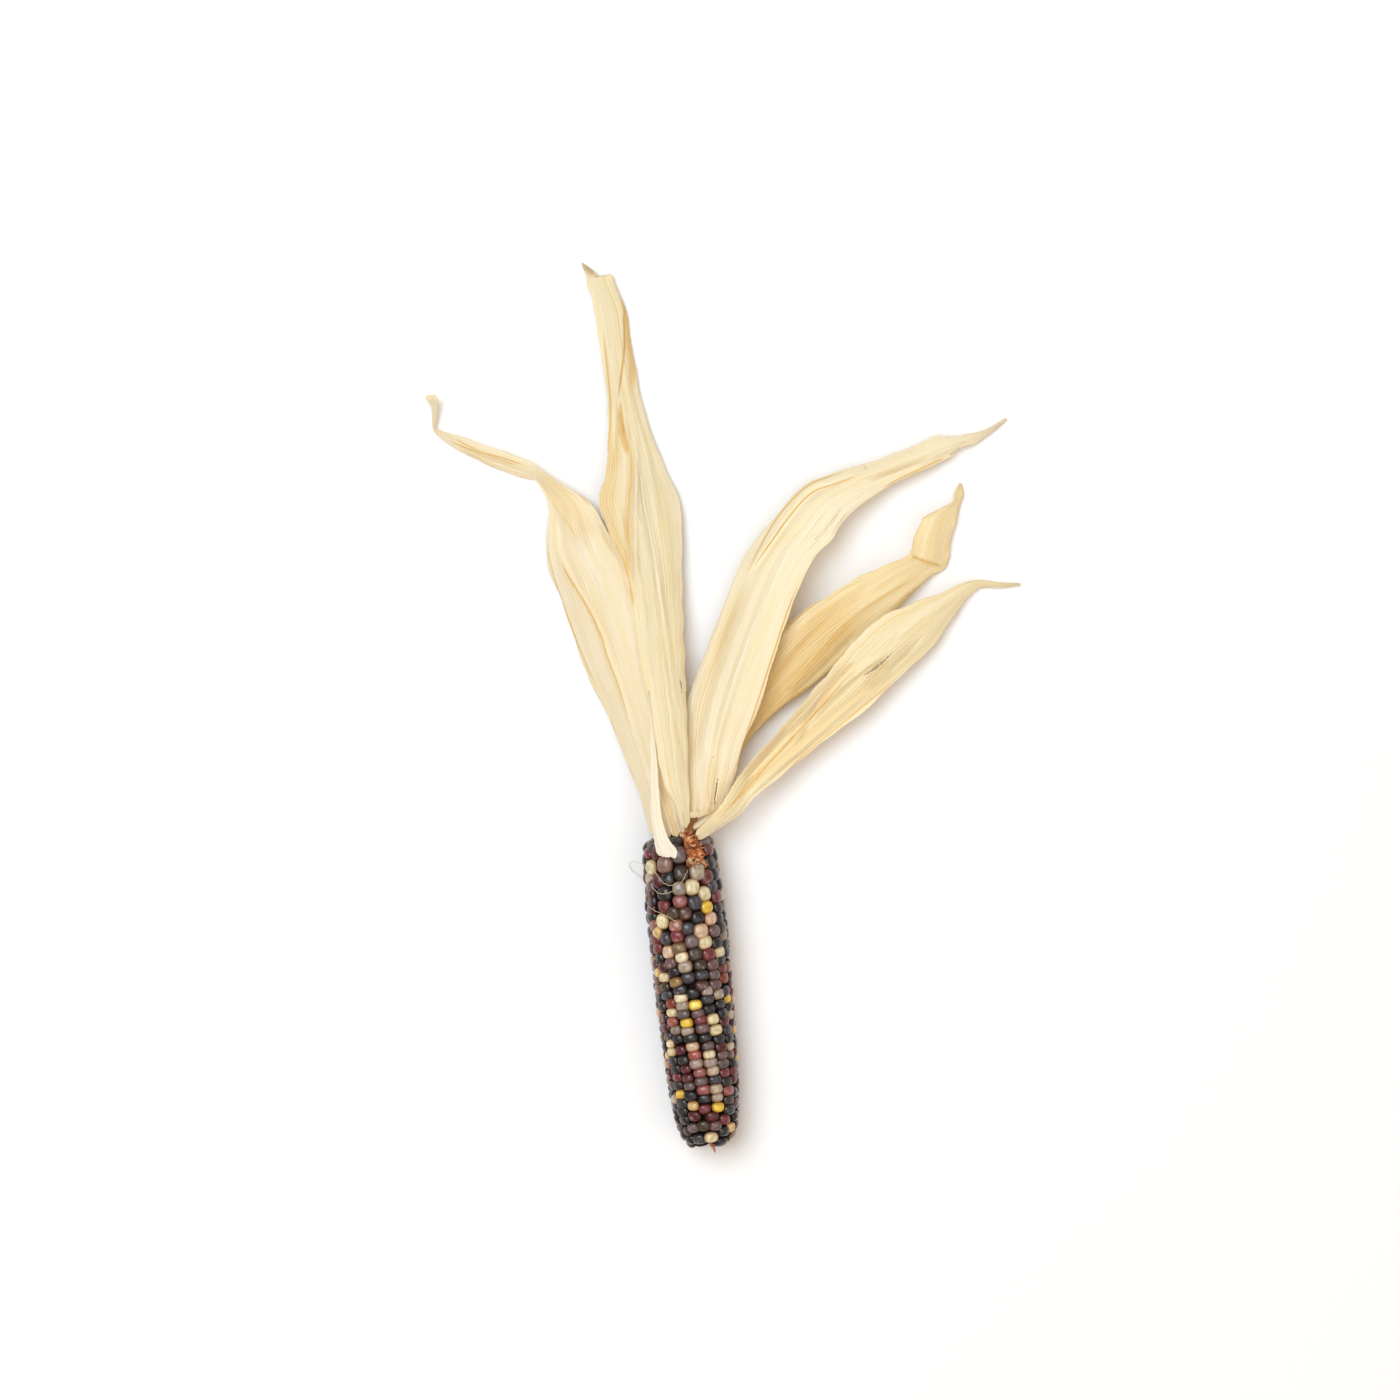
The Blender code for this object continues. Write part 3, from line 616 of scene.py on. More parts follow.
def kernel_mesh(number, draw):
    """Points of one kernel, for each how far out it lies and how pale its scar is, and the outline."""
    _, distance, angle, _ = seats[number]
    outline = kernel_outline(number, draw.uniform(*ROUNDING))
    middle = outline.mean(0)
    outline = outline - middle
    half = np.abs(outline).max(0)
    depth = (CROWN_DEPTH[0] + CROWN_DEPTH[1] * float(min(half))) * draw.uniform(*DEPTH_RANGE)
    fullness = draw.uniform(*FULLNESS)
    lean = np.array((draw.gauss(0.0, LEAN), draw.gauss(0.0, LEAN)))
    dent = max(0.0, draw.gauss(*DENTS))
    dent_place = np.array((draw.uniform(-0.3, 0.3), draw.uniform(-0.3, 0.3))) * half
    dent_size = draw.uniform(*DENT_SIZES)
    scar = draw.random() < SCAR_SHARE
    scar_place = np.array((draw.uniform(-0.4, 0.4), draw.uniform(0.0, 0.6))) * half
    tip_lift = TIP_LIFT * float(smooth_step(*TIP_LIFT_GROWS, distance))
    lift = draw.gauss(MEAN_LIFT, LIFT_SPREAD) + tip_lift

    crown = np.concatenate([np.zeros((1, 2))] + [outline * ring for ring in CROWN_RINGS])
    out = np.concatenate(((0.0,), np.repeat(CROWN_RINGS, KERNEL_SIDES)))
    drop = depth * (1.0 - np.maximum(1.0 - out ** fullness, 0.0) ** (1.0 / fullness))
    drop = drop + crown @ lean
    drop = drop + dent * np.exp(-((crown - dent_place) ** 2).sum(1) / dent_size ** 2)
    drop = drop + DIMPLE * waves(draw, 3.0, crown[:, 0] + 9.0, crown[:, 1], 4) * (1.0 - out ** 4)
    edge_drop = drop[-KERNEL_SIDES:]
    for reach, below in FOOT_RINGS:
        crown = np.concatenate((crown, outline * reach))
        drop = np.concatenate((drop, edge_drop + below))
        out = np.concatenate((out, np.full(KERNEL_SIDES, 1.0 + below / 4.0)))
    scars = np.exp(-((crown - scar_place) ** 2).sum(1) / SCAR_SIZE ** 2) * scar
    out = np.where(out < 1.0, 1.0 - (1.0 - out) * max(1.0, float(min(half)) / GROOVE_HALF), out)

    radius = radius_at(distance)
    slope = ear_slope(distance)
    outward, aside = facing(angle)
    upright = math.cos(slope) * outward - math.sin(slope) * TIPWARD
    forward = math.cos(slope) * TIPWARD + math.sin(slope) * outward
    bend = max(0.0, ear_slope(distance - 2.5) - ear_slope(distance + 2.5)) / 5.0
    seat = on_ear(angle, distance, radius)
    # The flat plan is laid round the ear, and narrows towards the cob
    side = crown[:, 0] + middle[0]
    length = crown[:, 1] + middle[1]
    below = drop - lift
    arm = radius / max(0.4, math.cos(slope))
    side_place = (arm - below) * np.sin(side / arm)
    side_drop = (arm - below) * (1.0 - np.cos(side / arm))
    length_place = length * (1.0 - bend * below)
    length_drop = bend * length * length / 2
    points = (
        seat + np.outer(side_place, aside) + np.outer(length_place, forward)
        - np.outer(below + side_drop + length_drop, upright)
    )
    return points, out, scars, outline


def kernel_faces(first):
    """Faces of one kernel: a fan over the crown, bands down the sides and a floor."""
    faces = []
    ring = first + 1
    for side in range(KERNEL_SIDES):
        faces.append((first, ring + side, ring + (side + 1) % KERNEL_SIDES))
    for band in range(len(CROWN_RINGS) + len(FOOT_RINGS) - 1):
        low = ring + band * KERNEL_SIDES
        high = low + KERNEL_SIDES
        for side in range(KERNEL_SIDES):
            after = (side + 1) % KERNEL_SIDES
            faces.append((low + side, high + side, high + after, low + after))
    faces.append(tuple(range(high, high + KERNEL_SIDES))[::-1])
    return faces


def kernel_finish():
    """Waxy seed coat: its own colour, a dusty bloom on the crown, darker and browner towards the rim, partly
    as painted shade, and painted near black as shade, without gloss, in the grooves.
    """
    finish = Finish("kernel_coat", Coat_Roughness=0.13, IOR=1.36)
    tone = finish.painted("tone", "Color")
    out = finish.painted("reach")
    scar = finish.painted("scar")
    cloud = finish.noise(520.0, 3.0)
    grain = finish.noise(2600.0, 2.0)
    colour = finish.mix(cloud.step(0.25, 0.75), finish.darker(tone, (0.62, 0.56, 0.60)), tone)
    bloom = (1.0 - out.step(0.1, 0.9)) * cloud.step(0.45, 0.8) * 0.09
    colour = finish.mix(bloom, colour, (0.62, 0.56, 0.52))
    speck = grain.step(0.60, 0.74) * 0.14
    colour = finish.mix(speck, colour, finish.darker(tone, (0.55, 0.45, 0.45)))
    colour = finish.mix(scar * 0.55, colour, (0.60, 0.47, 0.34))
    # Darker and browner towards the rim: partly the kernel's own colour, partly painted shade
    rim = out.step(0.35, 0.88) * 0.9
    colour = finish.mix(rim, colour, finish.darker(tone, (0.52, 0.35, 0.27)))
    # Painted shade: the sides going down into the grooves between kernels are painted near black
    side = out.step(0.84, 0.97) * 0.97
    colour = finish.mix(side, colour, finish.darker(tone, (0.05, 0.025, 0.02)))
    finish.feed(finish.shader.inputs["Coat Weight"], COAT_WEIGHT * (1.0 - side))
    roughness = 0.20 + 0.14 * cloud + 0.08 * grain + 0.5 * side
    return finish.coat(colour, roughness, cloud + 0.15 * grain, 0.09)


kernel_coat = kernel_finish()
draw = random.Random(17)
row_parts = {row: [] for row in range(1, ROWS + 1)}
for number, (row, _, _, name) in enumerate(kernel_seats):
    shade = draw.uniform(0.90, 1.10)
    tone = [value * shade for value in KERNEL_TONES[name]]
    row_parts[row].append((*kernel_mesh(number, draw), tone))


def patch_map(outline, cell, cells):
    """Where a kernel's points lie on its own square of the row's flat map."""
    away = outline / np.abs(outline).max()
    rings = [away * out for out in (*CROWN_RINGS * 0.78, 0.85, 0.92, 0.99)]
    flat = np.concatenate([np.zeros((1, 2))] + rings) * 0.47 + 0.5
    return (flat + np.array((cell % cells, cell // cells))) / cells


def lay_map(piece, name, flat):
    """Gives the piece a flat map, from the place of each of its points on the map."""
    corners = np.zeros(len(piece.data.loops), int)
    piece.data.loops.foreach_get("vertex_index", corners)
    piece.data.uv_layers.new(name=name).uv.foreach_set("vector", flat[corners].ravel())


def paint(piece, name, values):
    """Gives each point of the piece a value, or a colour, that the finish reads by this name."""
    values = np.asarray(values)
    if values.ndim == 1:
        piece.data.attributes.new(name, "FLOAT", "POINT").data.foreach_set("value", values)
    else:
        colours = np.column_stack((values, np.ones(len(values))))
        piece.data.attributes.new(name, "FLOAT_COLOR", "POINT").data.foreach_set("color", colours.ravel())


for row, kernels in row_parts.items():
    row_points, row_reach, row_scars, row_outlines, row_tones = zip(*kernels)
    count = len(row_points[0])
    cells = math.ceil(math.sqrt(len(kernels)))
    faces = []
    flat = []
    for index, outline in enumerate(row_outlines):
        faces.extend(kernel_faces(index * count))
        flat.append(patch_map(outline, index, cells))
    piece = new_piece(f"kernels_row_{row:02d}", np.concatenate(row_points), faces, kernel_coat)
    lay_map(piece, "OFBake", np.concatenate(flat))
    paint(piece, "tone", np.repeat(row_tones, count, axis=0))
    paint(piece, "reach", np.concatenate(row_reach))
    paint(piece, "scar", np.concatenate(row_scars))
    finish_piece(piece, "kernels", f"kernel_row_{row:02d}")

# ---------------------------------------------------------------------------------------------------
# Chaff. Dry orange-red scales that wrapped kernels which have since come off. They stand on a lumpy bed
# at the stalk end and in a ring round the cob there: thin, curled, each grown on by its root. Two pale
# bits of leaf base are caught among them.

BARE_ROW = 2
BARE_UNTIL = 12.0
# Pale bits: how far to the side and how far from the stalk end they lie on the scales
PALE_BITS = ((6.2, 3.3), (7.1, 9.4))
BITS_DEEP = 1.0
SCALE_TINTS = (
    (0.40, 0.095, 0.022), (0.68, 0.225, 0.070), (0.80, 0.340, 0.120), (0.88, 0.500, 0.230),
    (0.94, 0.700, 0.430),
)
TINT_SHARES = (3, 6, 6, 4, 2)
PATCH_MIDDLE = row_angle(BARE_ROW, BARE_UNTIL / 2)
PATCH_HALF_WIDTH = 15.5
PATCH_STARTS = -1.4
BED_LINES = 40
BED_COLUMNS = 34
# How deep below the tops of the kernels the bed and the roots of the scales lie
BED_DEEP = 2.9
ROOTS_DEEP = 2.1
RING_ROOTS_DEEP = 3.0
# Lumps of the bed: how long and how high
BED_LUMPS = ((2.4, 0.55), (0.9, 0.22))
SCALES_ON_PATCH = 230
SCALES_IN_RING = 60
SCALE_LENGTHS = (1.8, 4.2)
NARROW_SCALES = (0.35, 0.8)
WIDE_SCALES = (0.9, 2.4)
SCALE_LEANS = (0.2, 1.1)
SCALE_CURLS = (-0.3, 0.9)
SCALE_THICKNESS = 0.16
BIT_CURL = 0.5
BIT_THICKNESS = 0.3
SCALE_ROWS = 5
SCALE_COLUMNS = 5


def sheet_faces(keep):
    """Faces of a closed thin sheet over a grid, with a wall round its edge and round each hole."""
    lines, columns = keep.shape
    width = columns + 1
    count = (lines + 1) * width
    faces = []
    for line, column in zip(*np.nonzero(keep)):
        corner = int(line) * width + int(column)
        quad = (corner, corner + 1, corner + width + 1, corner + width)
        faces.append(quad)
        faces.append(tuple(index + count for index in quad)[::-1])
        beyond = (
            (line > 0 and keep[line - 1, column], 0, 1),
            (column < columns - 1 and keep[line, column + 1], 1, 2),
            (line < lines - 1 and keep[line + 1, column], 2, 3),
            (column > 0 and keep[line, column - 1], 3, 0),
        )
        for covered, first, second in beyond:
            if not covered:
                faces.append((quad[second], quad[first], quad[first] + count, quad[second] + count))
    return faces


def chaff_scale(draw, root, outward, forward, length, width, curl, thickness=SCALE_THICKNESS):
    """One thin pointed scale, curled along its length and across it, as a closed solid."""
    aside = np.cross(forward, outward)
    top = []
    twist = draw.uniform(-0.5, 0.5)
    for line in range(SCALE_ROWS):
        along = line / (SCALE_ROWS - 1)
        half = width / 2 * (0.55 + 0.9 * along) * math.sqrt(max(0.02, 1.0 - along ** 2.6))
        bend = curl * along
        middle = root + length * along * (forward * math.cos(bend) + outward * math.sin(bend))
        for column in range(SCALE_COLUMNS):
            across = column / (SCALE_COLUMNS - 1) * 2.0 - 1.0
            dip = 0.35 * half * across * across + draw.uniform(-0.05, 0.05)
            top.append(middle + aside * across * half + outward * (dip + twist * across * half * along))
    top = np.array(top)
    faces = sheet_faces(np.ones((SCALE_ROWS - 1, SCALE_COLUMNS - 1), bool))
    return np.concatenate((top, top - outward * thickness)), faces


def gather(parts):
    """Joins (points, faces) parts into one list of each."""
    points = []
    faces = []
    count = 0
    for part_points, part_faces in parts:
        points.append(part_points)
        faces.extend(tuple(index + count for index in face) for face in part_faces)
        count += len(part_points)
    return np.concatenate(points), faces


def chaff_bed(draw):
    """The lumpy ground of the bare patch, as a closed solid."""
    lengths = np.linspace(PATCH_STARTS, BARE_UNTIL + 1.5, BED_LINES)
    angles = PATCH_MIDDLE + np.linspace(-1.0, 1.0, BED_COLUMNS) * PATCH_HALF_WIDTH
    along, around = np.meshgrid(lengths, angles, indexing="ij")
    skin = ear_radius(lengths)[:, None]
    radius = np.maximum(skin - BED_DEEP, 6.0)
    for length, height in BED_LUMPS:
        radius = radius + height * waves(draw, length, along, around / 4.0)
    top = on_ear(around, along, radius)
    low = on_ear(around, along, np.maximum(skin - KERNEL_DEPTH, 4.0))
    rings = np.concatenate((top, low[:, ::-1]), axis=1)
    return rings.reshape(-1, 3), ring_faces(BED_LINES, 2 * BED_COLUMNS)


def make_chaff():
    """The bed with all of its scales, and a tint for each of their points."""
    draw = random.Random(29)
    parts = [chaff_bed(draw)]
    tints = [np.tile(SCALE_TINTS[1], (len(parts[0][0]), 1))]
    roots = []
    for _ in range(SCALES_ON_PATCH):
        distance = draw.uniform(-1.8, 12.4)
        angle = PATCH_MIDDLE + draw.uniform(-PATCH_HALF_WIDTH, PATCH_HALF_WIDTH - 1.0)
        roots.append((distance, angle, ROOTS_DEEP))
    for _ in range(SCALES_IN_RING):
        roots.append((draw.uniform(-1.9, 0.4), draw.uniform(40.0, 330.0), RING_ROOTS_DEEP))
    for distance, angle, drop in roots:
        outward, aside = facing(angle)
        spin = draw.uniform(0.0, math.tau)
        forward = math.cos(spin) * aside + math.sin(spin) * TIPWARD
        lean = draw.uniform(*SCALE_LEANS)
        tilted = math.cos(lean) * forward + math.sin(lean) * outward
        upright = math.cos(lean) * outward - math.sin(lean) * forward
        root = on_ear(angle, distance, radius_at(distance) - drop - draw.uniform(0.1, 0.9))
        length = draw.uniform(*SCALE_LENGTHS)
        width = draw.choice((draw.uniform(*NARROW_SCALES), draw.uniform(*WIDE_SCALES)))
        parts.append(chaff_scale(draw, root, upright, tilted, length, width, draw.uniform(*SCALE_CURLS)))
        tint = np.array(draw.choices(SCALE_TINTS, TINT_SHARES)[0]) * draw.uniform(0.85, 1.1)
        tints.append(np.tile(tint, (len(parts[-1][0]), 1)))
    return *gather(parts), np.clip(np.concatenate(tints), 0.0, 1.0)


def make_bits():
    """Pale torn bits of leaf base caught among the scales."""
    draw = random.Random(30)
    parts = []
    for side, distance in PALE_BITS:
        radius = radius_at(distance) - BITS_DEEP
        root = on_ear(math.degrees(math.asin(side / radius)), distance, radius)
        for _ in range(2):
            turn = draw.uniform(0.0, math.tau)
            forward = np.array((math.cos(turn), math.sin(turn), 0.0))
            outward = np.array((draw.uniform(0.0, 0.6), draw.uniform(-0.3, 0.3), 1.0))
            outward /= np.linalg.norm(outward)
            length = draw.uniform(1.6, 2.6)
            width = draw.uniform(0.9, 1.5)
            parts.append(chaff_scale(
                draw, root - forward, outward, forward, length, width, BIT_CURL, BIT_THICKNESS))
    return gather(parts)


def scale_finish():
    """Dry scales: each its own tint of orange, blotched, with a crumbly relief."""
    finish = Finish("chaff_scales")
    tint = finish.painted("tint", "Color")
    blotch = finish.noise(500.0, 4.0, 0.6)
    crumb = finish.noise(2400.0, 3.0, 0.6)
    colour = finish.mix(blotch.step(0.35, 0.62), finish.darker(tint, (0.62, 0.45, 0.36)), tint)
    colour = finish.mix(crumb.step(0.5, 0.72) * 0.35, colour, (0.92, 0.62, 0.34))
    return finish.coat(colour, 0.72 + 0.2 * crumb, crumb + blotch, 0.2)


chaff_points, chaff_faces, chaff_tints = make_chaff()
chaff = new_piece("chaff", chaff_points, chaff_faces, scale_finish(), 60.0)
paint(chaff, "tint", chaff_tints)
finish_piece(chaff, "chaff", "chaff_patch")
bits_finish = rough_chaff("chaff_bits", (0.66, 0.33, 0.16), (0.80, 0.52, 0.31), (0.88, 0.70, 0.50))
finish_piece(new_piece("chaff_bits", *make_bits(), bits_finish, 60.0), "chaff")

# ---------------------------------------------------------------------------------------------------
# Shank. The stub of stalk that the ear grew on: woody, ribbed lengthwise, and snapped off ragged among
# the bases of the leaves. It is grown into the cob.

# Stations of the stub: the middle and the radius
SHANK = ((1.6, 2.3, 16.8, 6.2), (2.6, 5.0, 16.8, 5.6), (4.6, 11.0, 16.6, 4.5), (5.2, 13.0, 16.5, 3.8))
SHANK_RINGS = 40
SHANK_SIDES = 72
SHANK_RIBS = 0.05
SHANK_BUMPS = 0.02


def smooth_path(points, count):
    """This many points, evenly spaced, on a smooth curve through the given ones."""
    stations = [(index, *point) for index, point in enumerate(points)]
    return curve_rows(stations, np.linspace(0.0, len(points) - 1.0, count))


def make_shank():
    draw = random.Random(31)
    rows = smooth_path(SHANK, SHANK_RINGS)
    points = tube(rows[:, :3], rows[:, 3], SHANK_SIDES).reshape(SHANK_RINGS, SHANK_SIDES, 3)
    centre = rows[:, None, :3]
    turns = np.arange(SHANK_SIDES)[None, :] * 16.0 / SHANK_SIDES
    ribs = 1.0 + SHANK_RIBS * waves(draw, 1.1, turns)
    ribs = ribs + SHANK_BUMPS * waves(draw, 3.0, rows[:, 1:2], turns)
    points = centre + (points - centre) * ribs[:, :, None]
    # Splinters where it snapped
    points[-1, :, 1] += 0.7 * waves(draw, 1.6, turns[0])
    points[-2, :, 1] += 0.4 * waves(draw, 1.6, turns[0])
    return points.reshape(-1, 3), ring_faces(SHANK_RINGS, SHANK_SIDES)


def woody_finish():
    finish = Finish("woody_stalk")
    strand = finish.noise(finish.place(1500.0, 90.0, 1500.0), 3.0)
    patch = finish.noise(260.0, 3.0)
    colour = finish.mix(strand.step(0.35, 0.65), (0.30, 0.11, 0.03), (0.54, 0.27, 0.09))
    colour = finish.mix(patch.step(0.5, 0.75) * 0.6, colour, (0.24, 0.07, 0.02))
    return finish.coat(colour, 0.65 + 0.2 * strand, strand, 0.2)


shank = new_piece("shank_stub", *make_shank(), woody_finish(), 70.0)
finish_piece(shank, "cob", "shank")

# ---------------------------------------------------------------------------------------------------
# Husk leaves. The ear's dried wrapping, pulled back and spread: thin and stiff, ribbed lengthwise by its
# veins, cream to straw with orange stains, and letting some light through. Each is one closed sheet,
# creased, doubled over and slit in places, and held at its base, where it is torn ragged.

# Each leaf is a list of stations from its base to its tip. A station gives the left edge and the right
# edge, seen with the base near and the tip far, as (x, y, height), and the crown between them.
HUSK_LEFT = (
    ((-11.8, 3.0, 15.0), (3.4, -0.6, 24.6), 4.0),
    ((-12.4, 8.0, 13.0), (3.0, 6.0, 23.6), 4.0),
    ((-14.1, 18.8, 10.0), (1.3, 20.1, 20.5), 4.0),
    ((-18.4, 34.0, 6.0), (-0.2, 39.3, 19.0), 4.0),
    ((-24.3, 54.5, 3.0), (-2.0, 62.7, 17.0), 4.0),
    ((-30.0, 68.6, 1.5), (-3.1, 83.9, 14.5), 4.0),
    ((-34.0, 82.9, 0.8), (-4.7, 101.0, 12.5), 4.0),
    ((-38.9, 104.5, 0.8), (-8.2, 116.1, 10.5), 4.0),
    ((-42.8, 119.7, 1.5), (-13.2, 125.1, 9.0), 4.0),
    ((-42.5, 131.1, 2.5), (-17.0, 133.1, 8.5), 3.0),
    ((-40.2, 140.6, 3.0), (-20.7, 142.0, 8.5), 2.5),
    ((-40.4, 146.9, 2.5), (-26.0, 147.6, 8.0), 2.0),
    ((-42.0, 152.2, 2.0), (-34.6, 154.3, 8.5), 1.0),
    ((-44.9, 157.1, 1.5), (-42.7, 161.5, 7.5), 0.5),
    ((-47.0, 157.3, 1.2), (-45.4, 164.3, 7.0), 0.5),
    ((-56.3, 161.2, 1.2), (-55.5, 169.2, 5.5), 1.0),
    ((-66.3, 166.5, 1.0), (-65.5, 174.0, 4.5), 1.0),
    ((-74.2, 171.6, 1.0), (-73.5, 177.8, 3.5), 1.0),
    ((-81.2, 176.9, 1.2), (-80.8, 181.1, 3.0), 0.5),
    ((-85.3, 182.0, 2.0), (-84.4, 183.2, 2.8), 0.0),
    ((-85.4, 185.4, 2.8), (-83.7, 185.2, 3.4), 0.0),
    ((-85.2, 191.7, 5.0), (-82.2, 191.4, 5.0), 0.3),
    ((-86.9, 195.7, 8.0), (-81.9, 194.7, 8.0), 0.3),
    ((-85.9, 196.8, 8.6), (-82.6, 196.5, 8.6), 0.0),
)
HUSK_TALL = (
    ((2.1, 3.6, 25.6), (5.5, 4.5, 25.4), 0.3),
    ((0.2, 13.9, 25.6), (6.4, 12.8, 24.8), 0.6),
    ((-3.5, 23.6, 25.4), (7.1, 23.7, 23.0), 1.0),
    ((-4.9, 37.7, 24.2), (8.1, 37.2, 21.0), 1.5),
    ((-6.2, 53.8, 21.8), (9.3, 53.1, 18.0), 2.0),
    ((-7.9, 73.9, 18.8), (10.4, 72.0, 14.5), 2.5),
    ((-8.7, 95.1, 15.8), (11.8, 92.9, 11.0), 3.0),
    ((-10.7, 116.4, 13.0), (13.5, 113.9, 7.5), 3.0),
    ((-15.6, 130.4, 11.6), (15.1, 128.5, 5.5), 3.0),
    ((-18.6, 145.5, 10.0), (15.2, 141.6, 4.0), 3.0),
    ((-14.7, 155.2, 8.0), (11.7, 152.5, 3.0), 2.5),
    ((-12.3, 169.3, 5.0), (7.3, 167.3, 2.5), 2.0),
    ((-10.7, 185.2, 4.0), (3.9, 183.7, 2.0), 2.0),
    ((-11.0, 202.1, 3.5), (2.3, 200.7, 2.0), 1.5),
    ((-11.9, 217.8, 3.0), (1.4, 216.5, 2.0), 1.0),
    ((-12.5, 228.5, 2.5), (0.8, 226.2, 2.0), 0.8),
    ((-13.6, 234.8, 2.0), (-2.6, 235.4, 2.4), 0.6),
    ((-14.2, 238.4, 1.8), (-3.7, 240.2, 2.6), 0.5),
    ((-14.5, 240.4, 1.6), (-7.6, 239.4, 2.0), 0.3),
    ((-15.0, 243.2, 1.4), (-10.2, 241.8, 1.8), 0.2),
    ((-15.7, 246.5, 1.2), (-14.9, 246.1, 1.2), 0.0),
)
HUSK_STRIP = (
    ((-7.9, -6.6, 31.6), (-1.5, -8.0, 33.8), 0.8),
    ((-9.0, -5.0, 31.6), (-0.9, -5.2, 33.6), 1.0),
    ((-9.8, -0.7, 31.2), (-3.1, -0.9, 33.0), 1.0),
    ((-10.0, 5.3, 30.0), (-5.0, 5.2, 31.4), 0.8),
    ((-10.0, 13.7, 28.0), (-5.8, 13.3, 29.0), 0.6),
    ((-9.4, 23.4, 26.6), (-5.6, 23.0, 27.4), 0.6),
    ((-8.0, 35.9, 24.9), (-5.3, 36.8, 25.4), 0.4),
    ((-6.9, 47.2, 23.2), (-5.6, 47.1, 23.4), 0.2),
    ((-6.2, 62.9, 21.2), (-5.6, 62.8, 21.4), 0.0),
)
HUSK_UPPER_RIGHT = (
    ((6.0, 7.4, 22.4), (18.4, 8.4, 14.0), 2.0),
    ((6.5, 25.9, 17.0), (26.0, 22.6, 16.0), 2.0),
    ((7.2, 40.6, 13.5), (31.2, 36.4, 18.0), 2.0),
    ((9.6, 56.0, 11.0), (39.5, 50.8, 20.0), 2.5),
    ((17.3, 72.5, 9.0), (46.2, 67.0, 21.0), 3.0),
    ((25.1, 87.3, 8.0), (54.0, 84.3, 21.5), 3.0),
    ((32.6, 102.2, 7.5), (61.4, 99.2, 21.0), 3.5),
    ((41.3, 116.9, 7.5), (69.4, 111.4, 20.0), 4.0),
    ((52.2, 128.0, 7.5), (77.8, 118.6, 18.0), 4.0),
    ((67.1, 141.6, 7.0), (83.6, 126.0, 15.5), 3.5),
    ((80.2, 146.2, 6.0), (95.0, 133.7, 12.5), 3.0),
    ((95.8, 149.2, 5.0), (107.0, 139.6, 9.5), 2.5),
    ((111.8, 153.0, 4.0), (119.7, 143.8, 7.0), 2.0),
    ((127.1, 157.8, 3.0), (131.5, 148.0, 4.5), 1.5),
    ((138.8, 157.0, 2.5), (141.2, 152.1, 3.0), 0.8),
    ((148.2, 158.5, 2.0), (149.7, 156.7, 2.0), 0.3),
    ((156.4, 162.4, 1.2), (157.0, 161.5, 1.2), 0.0),
)
HUSK_MIDDLE_RIGHT = (
    ((10.4, 9.0, 12.5), (15.0, 7.0, 9.0), 0.5),
    ((19.5, 33.0, 9.0), (26.1, 28.1, 8.0), 1.0),
    ((29.3, 50.2, 8.5), (39.1, 42.8, 8.0), 1.5),
    ((40.4, 67.6, 9.0), (52.7, 52.4, 8.5), 2.0),
    ((51.5, 80.8, 11.0), (63.5, 58.4, 8.5), 2.5),
    ((61.6, 89.0, 12.5), (74.5, 66.6, 8.0), 2.5),
    ((74.1, 95.3, 13.5), (85.6, 75.5, 7.5), 2.0),
    ((87.4, 101.5, 13.5), (97.8, 84.0, 7.0), 1.5),
    ((99.6, 105.3, 11.5), (108.4, 92.2, 6.0), 1.0),
    ((108.4, 108.2, 9.0), (117.5, 98.8, 4.0), 0.5),
    ((109.8, 109.7, 8.5), (124.6, 101.9, 2.0), 0.5),
    ((112.7, 116.6, 9.5), (127.6, 112.5, 3.0), 1.5),
    ((116.1, 122.4, 9.0), (130.2, 119.6, 2.5), 1.5),
    ((117.0, 123.7, 9.0), (130.8, 121.0, 2.5), 1.4),
    ((128.6, 128.3, 5.0), (133.2, 126.9, 2.0), 0.5),
    ((130.4, 129.2, 4.4), (133.7, 128.2, 1.9), 0.4),
    ((131.2, 132.4, 3.0), (135.4, 132.0, 1.5), 0.2),
    ((134.2, 136.8, 1.5), (135.0, 136.7, 1.2), 0.0),
)
HUSK_LOWER_RIGHT = (
    ((6.5, 1.4, 27.0), (9.1, -1.8, 28.2), 0.3),
    ((12.9, 6.3, 25.2), (16.2, 1.7, 22.5), 0.6),
    ((19.9, 12.7, 23.5), (26.0, 6.6, 18.0), 0.8),
    ((26.7, 21.7, 22.5), (33.9, 13.8, 16.0), -1.0),
    ((35.3, 30.5, 22.0), (43.0, 19.6, 15.0), -2.0),
    ((45.5, 39.6, 22.0), (54.4, 27.3, 14.5), -2.5),
    ((57.7, 51.0, 21.5), (68.8, 36.3, 14.0), -2.5),
    ((69.8, 62.4, 20.0), (84.1, 45.3, 13.0), -1.5),
    ((81.1, 73.5, 18.0), (99.7, 57.6, 11.0), 1.0),
    ((93.9, 83.1, 15.5), (113.4, 67.6, 8.5), 2.0),
    ((107.1, 87.7, 12.5), (121.5, 76.0, 6.5), 2.5),
    ((120.1, 90.9, 9.0), (128.7, 84.6, 4.5), 2.0),
    ((131.0, 94.5, 5.5), (136.6, 91.3, 3.0), 1.0),
    ((138.2, 95.0, 3.5), (140.5, 91.8, 2.2), 0.5),
    ((146.9, 93.2, 2.0), (146.7, 90.7, 1.5), 0.2),
    ((155.2, 91.9, 1.2), (155.6, 91.0, 1.2), 0.0),
)

LEAF_THICKNESS = 0.34
# The least that the underside of a leaf stands above the surface
LEAST_HEIGHT = 0.35
# How wide and how high the veins, the broader ribs and the slow swells are
VEINS = (1.6, 0.05)
RIBS = (5.0, 0.11)
SWELLS = (11.0, 0.22)
MARGIN_WAVES = 24.0
MARGIN_WANDER = 0.45
# How strong and how wide the darker margin is, and how far up the leaf its torn base reaches
DRY_MARGIN = (0.4, 0.4)
TORN_REACH = 6.0
# The flat map of a leaf's grain counts in tenths of a metre
GRAIN_UNIT = 100.0

